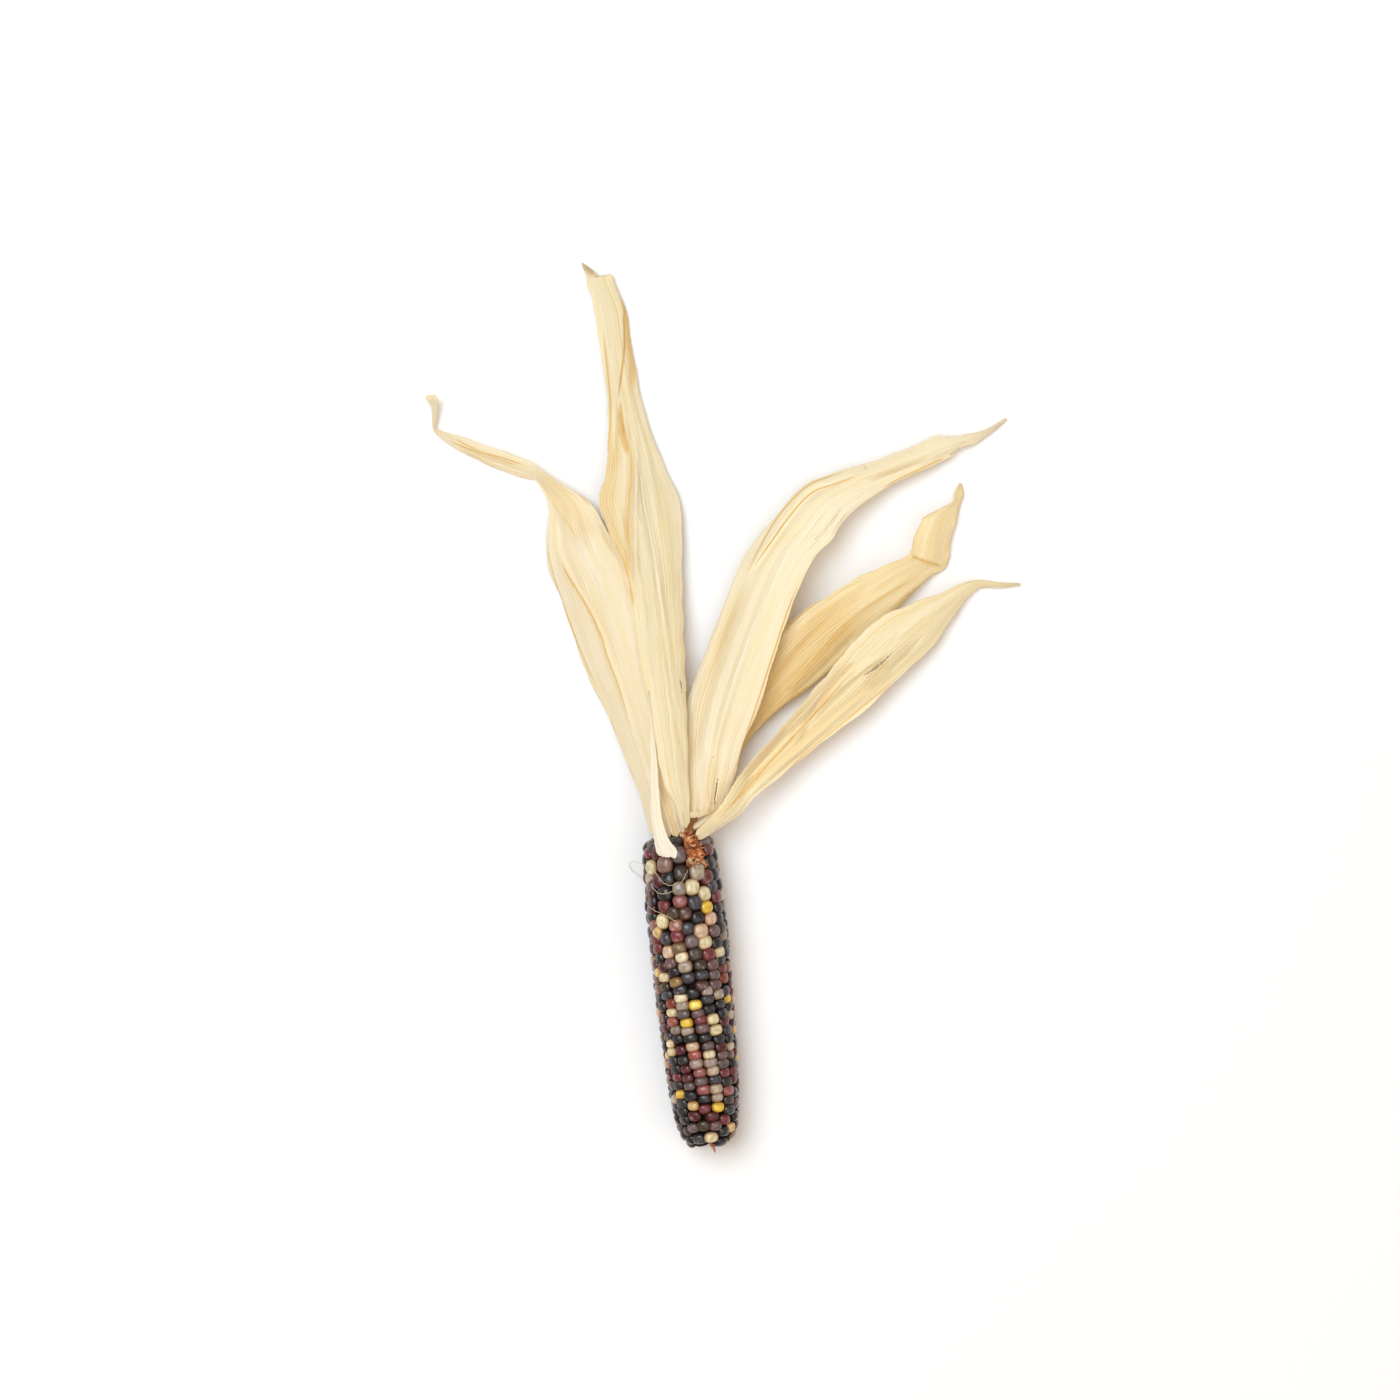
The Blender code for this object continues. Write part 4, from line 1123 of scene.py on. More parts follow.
# Folds: height in millimetres, half width, and the fold's path in plan. A valley has a height below 0.
FOLDS_LEFT = (
    (0.9, 1.1, ((-38.4, 134.0), (-37.2, 121.3), (-33.9, 112.5), (-28.3, 100.9), (-23.8, 88.2), (-22.1, 79.6),
                (-18.4, 66.5), (-16.0, 53.6), (-12.5, 34.2))),
    (-0.7, 2.0, ((-36.4, 130.0), (-31.0, 110.0), (-24.0, 94.0), (-18.0, 74.0))),
    (0.7, 1.6, ((-40.4, 151.1), (-33.4, 137.7), (-24.0, 122.0))),
    (-0.6, 1.4, ((-39.0, 148.0), (-36.0, 137.7), (-36.0, 124.0))),
    (0.5, 1.2, ((-69.9, 172.0), (-57.7, 167.3), (-44.8, 161.0))),
    (1.2, 1.0, ((-8.0, 34.0), (-5.6, 18.0), (-3.2, 7.0), (-0.8, -2.0), (1.0, -8.0))),
    (-1.2, 0.9, ((-6.2, 32.0), (-3.6, 16.0), (-1.4, 6.0), (0.6, -2.0), (2.0, -8.0))),
    (0.9, 0.8, ((-3.6, 24.0), (-1.2, 11.0), (0.8, 3.0), (2.6, -6.0))),
)
FOLDS_TALL = (
    (-1.8, 1.6, ((-2.7, 172.6), (-3.6, 155.8), (-7.1, 135.0), (-8.9, 103.0))),
    (1.0, 1.3, ((-0.5, 172.0), (-1.2, 155.8), (-4.0, 135.0), (-6.5, 103.0))),
    (-0.9, 1.2, ((-5.2, 185.5), (-5.5, 178.7), (-6.6, 170.1))),
    (0.8, 1.5, ((-8.2, 212.0), (-7.5, 190.0), (-10.0, 168.0), (-14.0, 150.0))),
    (0.6, 1.4, ((-2.0, 222.0), (-1.0, 190.0), (4.0, 160.0), (6.0, 120.0))),
    (-0.6, 1.0, ((1.2, 117.3), (2.8, 83.3), (4.0, 50.0))),
    (0.6, 1.2, ((3.0, 112.0), (4.6, 83.3), (5.0, 50.0))),
)
FOLDS_UPPER_RIGHT = (
    (1.0, 1.3, ((40.0, 108.0), (48.5, 117.5), (58.5, 129.5), (70.0, 140.5), (80.3, 143.4), (93.3, 146.3))),
    (-0.8, 1.3, ((42.0, 106.0), (50.5, 115.5), (60.5, 127.5), (71.0, 137.5), (82.3, 141.0))),
    (1.0, 2.2, ((13.8, 18.8), (23.5, 47.4), (36.2, 75.6), (51.7, 103.5), (64.4, 123.3))),
    (-0.9, 2.6, ((9.0, 30.0), (17.0, 56.0), (28.0, 84.0), (42.0, 108.0))),
    (0.9, 1.2, ((91.6, 141.0), (108.9, 145.3), (126.1, 149.6))),
    (-0.7, 1.0, ((86.0, 136.0), (104.0, 142.3), (120.0, 147.0))),
    (0.6, 0.8, ((72.3, 118.3), (77.1, 124.1), (82.0, 130.8))),
    (-0.5, 0.8, ((70.3, 119.8), (75.1, 125.6), (80.0, 132.0))),
    (0.5, 0.7, ((76.0, 119.5), (80.0, 124.5), (84.5, 129.0))),
)
FOLDS_MIDDLE_RIGHT = (
    (-1.2, 2.2, ((41.1, 56.0), (58.9, 73.1), (77.6, 88.2), (95.6, 98.0))),
    (1.2, 1.8, ((47.0, 53.0), (62.9, 68.1), (80.6, 84.2), (98.6, 94.0), (112.0, 101.0))),
    (-0.8, 1.4, ((52.0, 52.5), (68.0, 65.0), (86.0, 79.5))),
    (0.9, 1.0, ((49.1, 77.0), (60.7, 86.3), (78.7, 97.1), (91.8, 101.3))),
    (1.0, 0.9, ((108.8, 108.6), (115.3, 105.4), (124.6, 101.9))),
    (-0.8, 1.1, ((109.8, 106.2), (116.3, 103.0), (122.6, 100.5))),
    (0.7, 1.0, ((126.0, 104.0), (129.0, 113.0), (131.5, 124.0))),
)
FOLDS_LOWER_RIGHT = (
    (-2.2, 1.8, ((55.2, 37.6), (64.9, 49.3), (74.5, 59.5), (83.2, 65.5))),
    (1.5, 1.5, ((50.0, 33.0), (60.0, 43.0), (71.0, 53.5), (84.0, 62.0), (97.0, 70.0))),
    (-1.2, 1.6, ((29.7, 20.8), (41.1, 31.0), (52.0, 41.0))),
    (0.8, 1.4, ((29.6, 13.0), (41.2, 22.3), (54.8, 31.5), (73.0, 44.3), (88.6, 54.5))),
    (0.7, 1.2, ((99.0, 73.0), (112.0, 81.5), (126.0, 88.0))),
    (-0.6, 1.0, ((95.0, 60.0), (104.0, 67.0), (112.0, 74.0))),
)
FOLDS_STRIP = (
    (0.5, 0.7, ((-6.6, 47.0), (-7.8, 30.0), (-8.3, 13.7), (-8.3, 2.0), (-7.0, -6.0))),
)

# Laps: where the leaf is doubled over, how high the upper layer's edge stands, how wide the layer is,
# and the path of its edge, with the layer on the left of the path
LAPS_TALL = (
    (0.9, 9.0, ((-6.9, 184.6), (-4.2, 194.9), (-1.1, 209.1), (-0.2, 220.9), (0.6, 225.4), (-3.1, 236.5))),
    (0.6, 4.0, ((3.2, 84.0), (1.4, 117.0), (-0.6, 140.0), (-1.2, 160.0), (-4.0, 180.0))),
)
LAPS_LOWER_RIGHT = (
    (1.0, 12.0, ((80.0, 61.5), (70.0, 52.5), (58.0, 42.0), (44.5, 30.0), (33.0, 19.5), (23.0, 11.0),
                 (14.0, 4.4))),
)
LAPS_MIDDLE_RIGHT = (
    (0.8, 9.0, ((122.0, 103.2), (98.6, 93.0), (80.6, 82.6), (62.9, 66.5), (47.0, 52.0))),
)
LAPS_UPPER_RIGHT = (
    (0.9, 7.0, ((38.0, 104.0), (49.5, 117.0), (60.0, 129.0), (71.0, 138.6), (84.0, 142.0), (97.0, 145.8))),
    (0.6, 5.0, ((66.0, 113.0), (74.0, 121.0), (83.0, 131.5))),
)
LAPS_LEFT = (
    (0.5, 5.0, ((-18.4, 66.5), (-22.1, 79.6), (-23.8, 88.2), (-28.3, 100.9), (-33.9, 112.5), (-37.2, 121.3))),
    (0.6, 4.0, ((-26.0, 124.0), (-33.4, 137.7), (-40.0, 150.0))),
)

# Stains: which one (0 orange, 1 brown, 2 grey), strength, half width and path
STAINS_LEFT = (
    (0, 1.00, 0.40, FOLDS_LEFT[0][2]),
    (0, 0.22, 1.8, FOLDS_LEFT[0][2]),
    (0, 0.90, 0.45, ((-41.5, 161.0), (-33.6, 154.8), (-26.0, 147.5), (-20.8, 141.1))),
    (0, 0.35, 1.2, ((-20.8, 141.1), (-17.1, 127.6), (-11.7, 114.4), (-9.8, 84.6))),
    (0, 0.85, 0.40, ((-81.9, 178.7), (-69.9, 172.0), (-57.7, 167.3), (-44.8, 161.7))),
    (0, 0.70, 0.40, ((-79.6, 179.6), (-65.7, 170.4), (-45.4, 160.3))),
    (0, 0.30, 2.2, ((-81.0, 178.7), (-69.9, 171.0), (-57.7, 166.3), (-44.8, 160.7))),
    (0, 0.60, 0.45, ((-41.4, 152.0), (-33.4, 137.7), (-27.0, 125.0))),
    (0, 0.40, 5.5, ((-44.0, 166.0), (-36.0, 151.0), (-29.0, 138.0), (-22.0, 124.0))),
    (0, 0.70, 0.45, ((-41.3, 138.6), (-42.0, 121.6), (-36.8, 97.0), (-31.0, 76.0), (-26.0, 62.0))),
    (2, 0.30, 0.8, ((-9.8, 84.6), (-7.8, 59.1))),
    (0, 0.50, 0.45, ((-5.4, 36.0), (-2.8, 20.0), (-0.6, 9.0), (1.4, 0.0), (2.4, -5.0))),
    (0, 0.45, 0.45, ((-7.0, 36.0), (-4.8, 20.0), (-2.0, 8.0), (0.6, -1.0), (2.0, -6.0))),
    (0, 0.22, 2.2, ((-7.0, 50.0), (-5.4, 30.0), (-4.0, 14.0), (-2.6, 0.0), (-2.0, -14.0))),
    (1, 0.45, 0.5, ((-3.4, 14.0), (-1.0, 6.0), (1.0, 0.0), (2.0, -5.0))),
    (1, 0.35, 0.5, ((-9.0, 5.0), (-3.0, 2.0), (3.0, 0.5))),
)
STAINS_TALL = (
    (0, 1.00, 0.60, ((-15.8, 131.7), (-11.2, 119.8), (-9.0, 106.0), (-8.5, 96.3))),
    (0, 0.45, 2.0, ((-17.0, 143.0), (-13.5, 131.7), (-10.0, 119.8), (-8.9, 101.4))),
    (0, 1.00, 0.45, FOLDS_TALL[0][2]),
    (0, 0.30, 1.6, FOLDS_TALL[0][2]),
    (0, 0.90, 0.60, ((-5.2, 190.5), (-5.5, 178.7), (-6.6, 172.1), (-5.0, 160.0))),
    (0, 0.95, 0.45, ((-9.2, 228.1), (-9.4, 207.0), (-9.5, 185.8), (-11.9, 169.3), (-16.2, 152.8),
                     (-18.3, 144.6))),
    (0, 0.50, 4.2, ((-8.0, 186.0), (-11.0, 166.0), (-14.0, 150.0), (-15.5, 138.0), (-12.0, 121.0),
                    (-9.5, 104.0))),
    (0, 0.90, 1.3, ((-5.6, 186.0), (-5.8, 178.0), (-4.8, 169.0), (-4.4, 160.0))),
    (1, 0.40, 0.9, ((-5.6, 184.0), (-5.6, 177.0), (-4.8, 171.0))),
    (0, 0.95, 0.50, LAPS_TALL[0][2]),
    (0, 0.75, 1.7, ((-1.0, 236.0), (1.0, 225.0), (1.2, 212.0), (1.4, 200.0), (-1.0, 182.0))),
    (2, 0.22, 2.0, ((3.5, 167.7), (0.5, 134.2), (-3.1, 83.9), (-4.5, 50.3))),
    (1, 0.50, 0.35, ((1.2, 117.3), (2.0, 100.0), (2.8, 83.3))),
    (1, 0.60, 1.8, ((-15.7, 246.5), (-13.4, 243.4), (-10.4, 239.6))),
    (0, 0.35, 1.0, ((2.0, 60.0), (6.0, 30.0), (6.0, 12.0))),
    (0, 0.60, 0.40, ((3.4, 14.0), (3.3, 6.0), (3.4, 2.0))),
)
STAINS_STRIP = (
    (0, 0.30, 0.4, ((-5.4, 58.0), (-6.2, 40.0), (-6.2, 24.0))),
    (1, 0.35, 0.4, ((-9.0, -5.4), (-5.1, -7.6), (-1.1, -6.2))),
)
STAINS_UPPER_RIGHT = (
    (0, 0.95, 0.45, ((36.3, 100.7), (46.8, 117.9), (56.7, 131.0), (68.8, 141.4), (79.3, 145.0),
                     (92.3, 147.8))),
    (0, 0.85, 0.45, LAPS_UPPER_RIGHT[0][2]),
    (0, 0.34, 4.6, ((6.0, 2.0), (9.0, 28.0), (12.0, 42.0), (17.5, 58.0), (24.0, 75.0), (35.0, 97.0),
                    (46.0, 112.0))),
    (0, 0.30, 9.0, ((12.0, -20.0), (13.0, 0.0), (14.5, 20.0), (17.0, 40.0))),
    (1, 0.90, 0.35, ((94.4, 148.5), (95.4, 145.4))),
    (1, 0.90, 0.35, ((18.2, 32.9), (18.2, 32.3))),
    (0, 0.40, 1.4, FOLDS_UPPER_RIGHT[4][2]),
    (0, 0.85, 0.45, ((98.0, 136.5), (108.9, 141.0), (122.0, 145.6), (131.0, 149.0))),
    (0, 0.50, 0.45, ((68.0, 117.5), (74.0, 121.6), (82.0, 130.8))),
    (0, 0.40, 0.40, ((62.0, 115.0), (70.0, 124.0), (78.0, 132.0))),
    (0, 0.95, 0.45, ((18.0, 4.0), (28.5, 30.0), (38.0, 51.0), (46.6, 70.1), (55.7, 90.4), (66.0, 109.0))),
    (0, 0.60, 0.40, ((30.0, 36.0), (39.8, 52.0), (48.4, 70.1), (57.6, 91.4), (69.8, 114.3))),
    (1, 0.40, 1.4, ((120.0, 147.5), (130.0, 150.5), (142.0, 155.0))),
    (0, 0.60, 0.40, ((14.2, 9.0), (15.0, 22.0), (18.5, 36.0))),
)
STAINS_MIDDLE_RIGHT = (
    (0, 0.45, 1.6, FOLDS_MIDDLE_RIGHT[0][2]),
    (0, 0.90, 0.45, LAPS_MIDDLE_RIGHT[0][2]),
    (0, 0.85, 0.45, ((49.1, 78.5), (60.7, 87.8), (78.7, 98.6), (91.8, 102.8))),
    (0, 1.00, 0.50, FOLDS_MIDDLE_RIGHT[4][2]),
    (0, 0.90, 0.50, ((108.8, 108.6), (112.6, 117.2), (116.8, 123.4), (128.6, 128.5))),
    (0, 0.90, 0.60, ((34.6, 39.9), (46.1, 48.4), (57.4, 55.5), (65.3, 59.1))),
    (0, 0.50, 10.0, ((0.0, 0.0), (22.0, 30.0), (38.0, 48.0), (54.0, 64.0), (76.0, 84.0), (92.0, 94.0))),
    (0, 0.75, 0.50, ((97.0, 84.0), (108.0, 92.5), (124.6, 101.9))),
)
STAINS_LOWER_RIGHT = (
    (1, 0.50, 1.0, FOLDS_LOWER_RIGHT[0][2]),
    (0, 0.95, 0.50, LAPS_LOWER_RIGHT[0][2]),
    (0, 0.30, 2.6, ((21.0, 14.0), (33.0, 24.0), (44.0, 35.0), (57.0, 46.5), (70.0, 57.0))),
    (0, 0.34, 3.5, ((24.0, 6.0), (41.2, 22.3), (54.8, 32.5), (73.0, 46.3), (90.0, 58.0), (108.0, 70.0))),
    (0, 0.55, 0.60, ((83.2, 57.6), (90.1, 61.0), (97.8, 66.3))),
    (0, 0.45, 0.50, ((84.0, 61.4), (90.4, 64.6), (97.8, 69.0))),
    (2, 0.75, 2.6, ((80.9, 52.9), (90.2, 58.2), (100.4, 65.9), (110.9, 72.7))),
    (0, 0.75, 0.45, ((35.9, 12.3), (54.4, 27.8), (81.6, 45.9), (108.8, 64.3))),
    (0, 0.75, 0.50, ((139.0, 91.2), (129.8, 84.8), (122.9, 77.6))),
)

# Tears right through a leaf: half width, and the tear's path in plan
TEARS_TALL = (
    (0.25, ((8.0, 60.0), (7.9, 64.0), (7.6, 67.0))),
)
TEARS_LOWER_RIGHT = ((0.5, ((84.4, 59.6), (90.4, 62.8), (97.2, 67.6))),)
TEARS_UPPER_RIGHT = (
    (0.30, ((16.6, 12.0), (17.6, 17.0), (19.2, 23.0))),
    (0.8, ((131.0, 148.8), (136.0, 150.6), (140.5, 152.2))),
    (1.2, ((127.5, 157.6), (133.0, 157.8), (138.0, 157.2))),
)


def near_path(spots, path):
    """How far each spot is from a path in plan, its share of the way along it, and 1 on its left, else -1."""
    path = smooth_path(path, 6 * len(path) - 5)
    best = np.full(len(spots), np.inf)
    along = np.zeros(len(spots))
    side = np.ones(len(spots))
    for index in range(len(path) - 1):
        run = path[index + 1] - path[index]
        part = np.clip(((spots - path[index]) @ run) / (run @ run), 0.0, 1.0)
        apart = np.linalg.norm(spots - path[index] - part[:, None] * run, axis=1)
        closer = apart < best
        best = np.where(closer, apart, best)
        along = np.where(closer, (index + part) / (len(path) - 1), along)
        turn = run[0] * (spots[:, 1] - path[index][1]) - run[1] * (spots[:, 0] - path[index][0])
        side = np.where(closer, np.sign(turn), side)
    return best, along, side


def fading(share, ends):
    """1 along a path, and falling softly to 0 over this share of it at each end."""
    return smooth_step(0.0, ends, share) * (1.0 - smooth_step(1.0 - ends, 1.0, share))


def husk_finish(name, seed, pale, straw, gold):
    """Dried husk: veins along the leaf, and orange, brown and grey stains where the mesh carries them."""
    finish = Finish(name, Subsurface_Weight=0.4, Subsurface_Radius=(0.9, 0.9, 0.8), Subsurface_Scale=0.002)
    grain = finish.node("ShaderNodeUVMap", {"uv_map": "grain"}, output="UV")

    def fibres(along, across, detail):
        """Noise with this many bumps in 100 mm along the leaf and across it."""
        stretched = finish.node(
            "ShaderNodeVectorMath", {"operation": "MULTIPLY_ADD"},
            {0: grain, 1: (along, across, 1.0), 2: (seed, seed * 2.0, seed)})
        return finish.noise(stretched, detail)

    broad = fibres(1.0, 24.0, 3.0)
    ribs = fibres(0.8, 105.0, 1.5)
    fine = fibres(2.5, 300.0, 2.0)
    cloud = fibres(4.5, 7.0, 3.0)
    speck = fibres(260.0, 420.0, 1.0)
    bent = finish.node("ShaderNodeVectorMath", {"operation": "MULTIPLY"}, {0: grain, 1: (0.25, 1.0, 1.0)})
    veins = finish.node(
        "ShaderNodeTexWave", {"bands_direction": "Y"},
        {"Vector": bent, "Scale": 23.0, "Distortion": 2.6, "Detail": 2.0, "Detail Scale": 0.5}, "Fac")
    stain = finish.painted("stain", "Color")
    parts = finish.node("ShaderNodeSeparateColor", {}, {0: stain}, "Red").socket.node
    orange = Tone(finish, parts.outputs["Red"])
    brown = Tone(finish, parts.outputs["Green"])
    grey = Tone(finish, parts.outputs["Blue"])
    colour = finish.mix(broad.step(0.3, 0.7), pale, straw)
    colour = finish.mix(cloud.step(0.5, 0.85) * 0.4, colour, gold)
    colour = finish.mix(ribs.step(0.46, 0.66) * 0.34, colour, gold)
    colour = finish.mix(veins.step(0.5, 1.0) * (0.12 + 0.45 * broad), colour, gold)
    colour = finish.mix(fine.step(0.5, 0.72) * 0.16, colour, gold)
    stained = orange * (0.35 + 0.7 * ribs + 0.3 * broad + 0.3 * veins)
    colour = finish.mix(stained.step(0.04, 0.85) * 0.85, colour, (0.70, 0.40, 0.10))
    colour = finish.mix((brown * (0.6 + 0.8 * ribs)).step(0.1, 0.9) * 0.7, colour, (0.40, 0.22, 0.07))
    mottled = grey * 0.16 + grey * speck.step(0.52, 0.6) * 0.7
    colour = finish.mix(mottled, colour, (0.30, 0.27, 0.16))
    relief = 0.5 * ribs + 0.2 * fine + 0.15 * broad + 0.3 * veins
    return finish.coat(colour, 0.5 + 0.2 * fine, relief, 0.18)


def make_leaf(name, stations, finish, folds, stains, seed, lines, columns, tears=(), laps=(), notches=(),
              ragged=0.8, wave=0.35, thickness=LEAF_THICKNESS):
    """One leaf as a closed sheet with veins, folds, laps, wavy margins, a ragged base and any tears."""
    draw = random.Random(seed)
    table = np.array([(*left, *right, crown) for left, right, crown in stations])
    middles = (table[:, :3] + table[:, 3:6]) / 2
    runs = np.concatenate(((0.0,), np.cumsum(np.linalg.norm(np.diff(middles, axis=0), axis=1))))
    places = np.linspace(0.0, runs[-1], lines + 1)
    rows = curve_rows(np.column_stack((runs, table)), places)
    left, right, crown = rows[:, :3], rows[:, 3:6], rows[:, 6]
    across = right - left
    width = np.maximum(np.linalg.norm(across, axis=1), 0.3)
    # The margins wander a little, less where the leaf is narrow and not at its base
    room = np.minimum(width / 8.0, 1.0) * smooth_step(0.0, 8.0, places) * MARGIN_WANDER * wave
    wander = [waves(draw, 14.0, places) + 0.45 * waves(draw, 3.0, places) for _ in range(2)]
    left = left + across * (room / width * wander[0])[:, None]
    right = right + across * (room / width * wander[1])[:, None]
    share = np.linspace(0.0, 1.0, columns + 1)
    points = left[:, None, :] + (right - left)[:, None, :] * share[None, :, None]
    # Where each point lies along the leaf and across it, in millimetres on the flat leaf
    place, veined = np.meshgrid(places, share * float(width.max()), indexing="ij")
    slim = np.minimum(width / 10.0, 1.0)[:, None]
    margin = np.abs(2.0 * share - 1.0) ** 3
    height = crown[:, None] * 4.0 * share * (1.0 - share)
    height = height + VEINS[1] * slim * waves(draw, VEINS[0], veined, count=9)
    height = height + RIBS[1] * slim * waves(draw, RIBS[0], veined, count=5)
    height = height + wave * slim * margin * waves(draw, MARGIN_WAVES, place, veined / 2.0)
    height = height + SWELLS[1] * slim * waves(draw, SWELLS[0], place / 3.0, veined)
    spots = points[:, :, :2].reshape(-1, 2)
    for rise, layer_width, path in laps:
        apart, run, side = near_path(spots, path)
        layer = smooth_step(-0.3, 0.3, apart * side)
        layer = layer * (1.0 - smooth_step(layer_width / 3, layer_width, apart))
        height = height + (rise * fading(run, 0.12) * layer).reshape(place.shape)
    for rise, half, path in folds:
        apart, run, _ = near_path(spots, path)
        crease = np.exp(-(apart / half) ** 2 * 1.2)
        height = height + (rise * fading(run, 0.18) * crease).reshape(place.shape)
    points[:, :, 2] += height
    # The base is torn off ragged along the veins
    forward = (points[1] - points[0]) / np.linalg.norm(points[1] - points[0], axis=1)[:, None]
    torn = 0.5 + 0.6 * waves(draw, 3.0, share * width[0]) + 0.2 * waves(draw, 0.9, share * width[0])
    torn = torn * ragged
    for middle, depth, half in notches:
        torn = torn + depth * np.exp(-((share - middle) / half) ** 2)
    near_base = np.exp(-places / TORN_REACH)[:, None, None]
    points += forward[None] * torn[None, :, None] * near_base
    points[:, :, 2] = np.maximum(points[:, :, 2], LEAST_HEIGHT + thickness / 2)

    keep = np.ones((lines, columns), bool)
    centres = (points[:-1, :-1] + points[1:, 1:])[:, :, :2].reshape(-1, 2) / 2
    for half, path in tears:
        apart, run, _ = near_path(centres, path)
        opening = np.sin(np.clip(run, 0.02, 0.98) * math.pi) ** 0.5
        opening = half * (opening + 0.35 * waves(draw, 1.2, centres[:, 0], centres[:, 1]))
        keep &= (apart > opening).reshape(keep.shape)

    lift = np.array((0.0, 0.0, thickness / 2))
    flat = points.reshape(-1, 3)
    piece = new_piece(name, np.concatenate((flat + lift, flat - lift)), sheet_faces(keep), finish, 55.0)
    stain = np.zeros((len(flat), 3))
    for channel, strength, half, path in stains:
        apart, run, _ = near_path(spots, path)
        mark = strength * fading(run, 0.25) * np.exp(-(apart / half) ** (2 if half < 1.5 else 4))
        stain[:, channel] = np.maximum(stain[:, channel], mark)
    # Margins dry darker
    from_edge = (np.minimum(share, 1.0 - share) * width[:, None]).reshape(-1)
    dry = DRY_MARGIN[0] * np.exp(-(from_edge / DRY_MARGIN[1]) ** 2)
    dry = dry * (0.6 + 0.8 * waves(draw, 12.0, place.ravel(), veined.ravel()))
    stain[:, 0] = np.maximum(stain[:, 0], dry)
    paint(piece, "stain", np.clip(np.tile(stain, (2, 1)), 0.0, 1.0))

    grain = np.column_stack((place.ravel(), veined.ravel()))
    lay_map(piece, "grain", np.tile(grain / GRAIN_UNIT, (2, 1)))
    # Both sides on one page, the upper side over the lower one
    half_page = grain / grain.max(0) * (0.98, 0.47) + (0.01, 0.015)
    lay_map(piece, "OFBake", np.concatenate((half_page + (0.0, 0.5), half_page)))
    return piece


LEAVES = (
    # name, stations, folds, laps, stains, tears, notches, seed, lines, columns, pale, straw and gold
    ("left", HUSK_LEFT, FOLDS_LEFT, LAPS_LEFT, STAINS_LEFT, (),
     ((0.62, 1.0, 0.03), (0.82, 1.8, 0.03)), 41, 280, 84,
     (0.96, 0.83, 0.60), (0.94, 0.77, 0.48), (0.91, 0.65, 0.30)),
    ("tall", HUSK_TALL, FOLDS_TALL, LAPS_TALL, STAINS_TALL, TEARS_TALL,
     ((0.0, 1.5, 0.2), (1.0, 1.0, 0.15)), 42, 300, 84,
     (0.89, 0.78, 0.54), (0.86, 0.71, 0.42), (0.83, 0.59, 0.25)),
    ("upper_right", HUSK_UPPER_RIGHT, FOLDS_UPPER_RIGHT, LAPS_UPPER_RIGHT, STAINS_UPPER_RIGHT,
     TEARS_UPPER_RIGHT, ((0.06, 3.0, 0.06), (0.18, 2.0, 0.03)), 43, 300, 84,
     (0.96, 0.85, 0.62), (0.94, 0.79, 0.50), (0.90, 0.66, 0.31)),
    ("middle_right", HUSK_MIDDLE_RIGHT, FOLDS_MIDDLE_RIGHT, LAPS_MIDDLE_RIGHT, STAINS_MIDDLE_RIGHT,
     (), (), 44, 280, 76, (0.93, 0.76, 0.46), (0.89, 0.67, 0.34), (0.84, 0.53, 0.19)),
    ("lower_right", HUSK_LOWER_RIGHT, FOLDS_LOWER_RIGHT, LAPS_LOWER_RIGHT, STAINS_LOWER_RIGHT,
     TEARS_LOWER_RIGHT, ((0.0, 1.2, 0.15), (1.0, 1.2, 0.15)), 45, 300, 84,
     (0.94, 0.81, 0.54), (0.92, 0.74, 0.42), (0.88, 0.62, 0.26)),
)
for name, stations, folds, laps, stains, tears, notches, seed, lines, columns, pale, straw, gold in LEAVES:
    finish = husk_finish(f"{name}_husk", float(seed), pale, straw, gold)
    leaf = make_leaf(
        f"leaf_{name}", stations, finish, folds, stains, seed, lines, columns, tears, laps, notches)
    finish_piece(leaf, "husk", f"husk_{name}")

strip_finish = husk_finish("strip_husk", 46.0, (0.93, 0.88, 0.72), (0.90, 0.83, 0.62), (0.86, 0.72, 0.45))
strip = make_leaf("leaf_strip", HUSK_STRIP, strip_finish, FOLDS_STRIP, STAINS_STRIP, 46, 150, 26)
finish_piece(strip, "husk", "husk_strip")

# ---------------------------------------------------------------------------------------------------
# Scraps. Two bits of torn leaf base, dry and brittle, caught on the stub beside the leaves: a small flat
# flake, and a strip that has rolled itself up as it dried.

FLAKE = (
    ((5.4, 11.0, 24.6), (14.4, 9.9, 21.8), 0.2),
    ((5.0, 9.6, 24.5), (14.2, 9.0, 21.6), 0.6),
    ((6.2, 8.2, 24.0), (10.6, 8.0, 22.8), 0.2),
)
# Stations of the roll: the middle and the radius
ROLL = ((7.0, 3.4, 23.2, 0.7), (8.4, 4.4, 23.0, 1.6), (12.6, 6.6, 21.6, 1.7), (17.6, 9.2, 19.2, 0.9))
ROLL_LINES = 40
ROLL_COLUMNS = 44
ROLL_TURNS = 1.35
ROLL_THICKNESS = 0.16
# The length and the width of the strip that is rolled up
ROLL_LENGTH = 11.0
ROLL_WIDTH = 8.0
scrap_finish = husk_finish("scrap_husk", 47.0, (0.90, 0.76, 0.50), (0.84, 0.62, 0.32), (0.72, 0.42, 0.14))
flake = make_leaf(
    "scrap_flake", FLAKE, scrap_finish, (), (), 47, 12, 16, ragged=0.5, wave=0.3, thickness=0.22)
finish_piece(flake, "husk", "husk_flake")


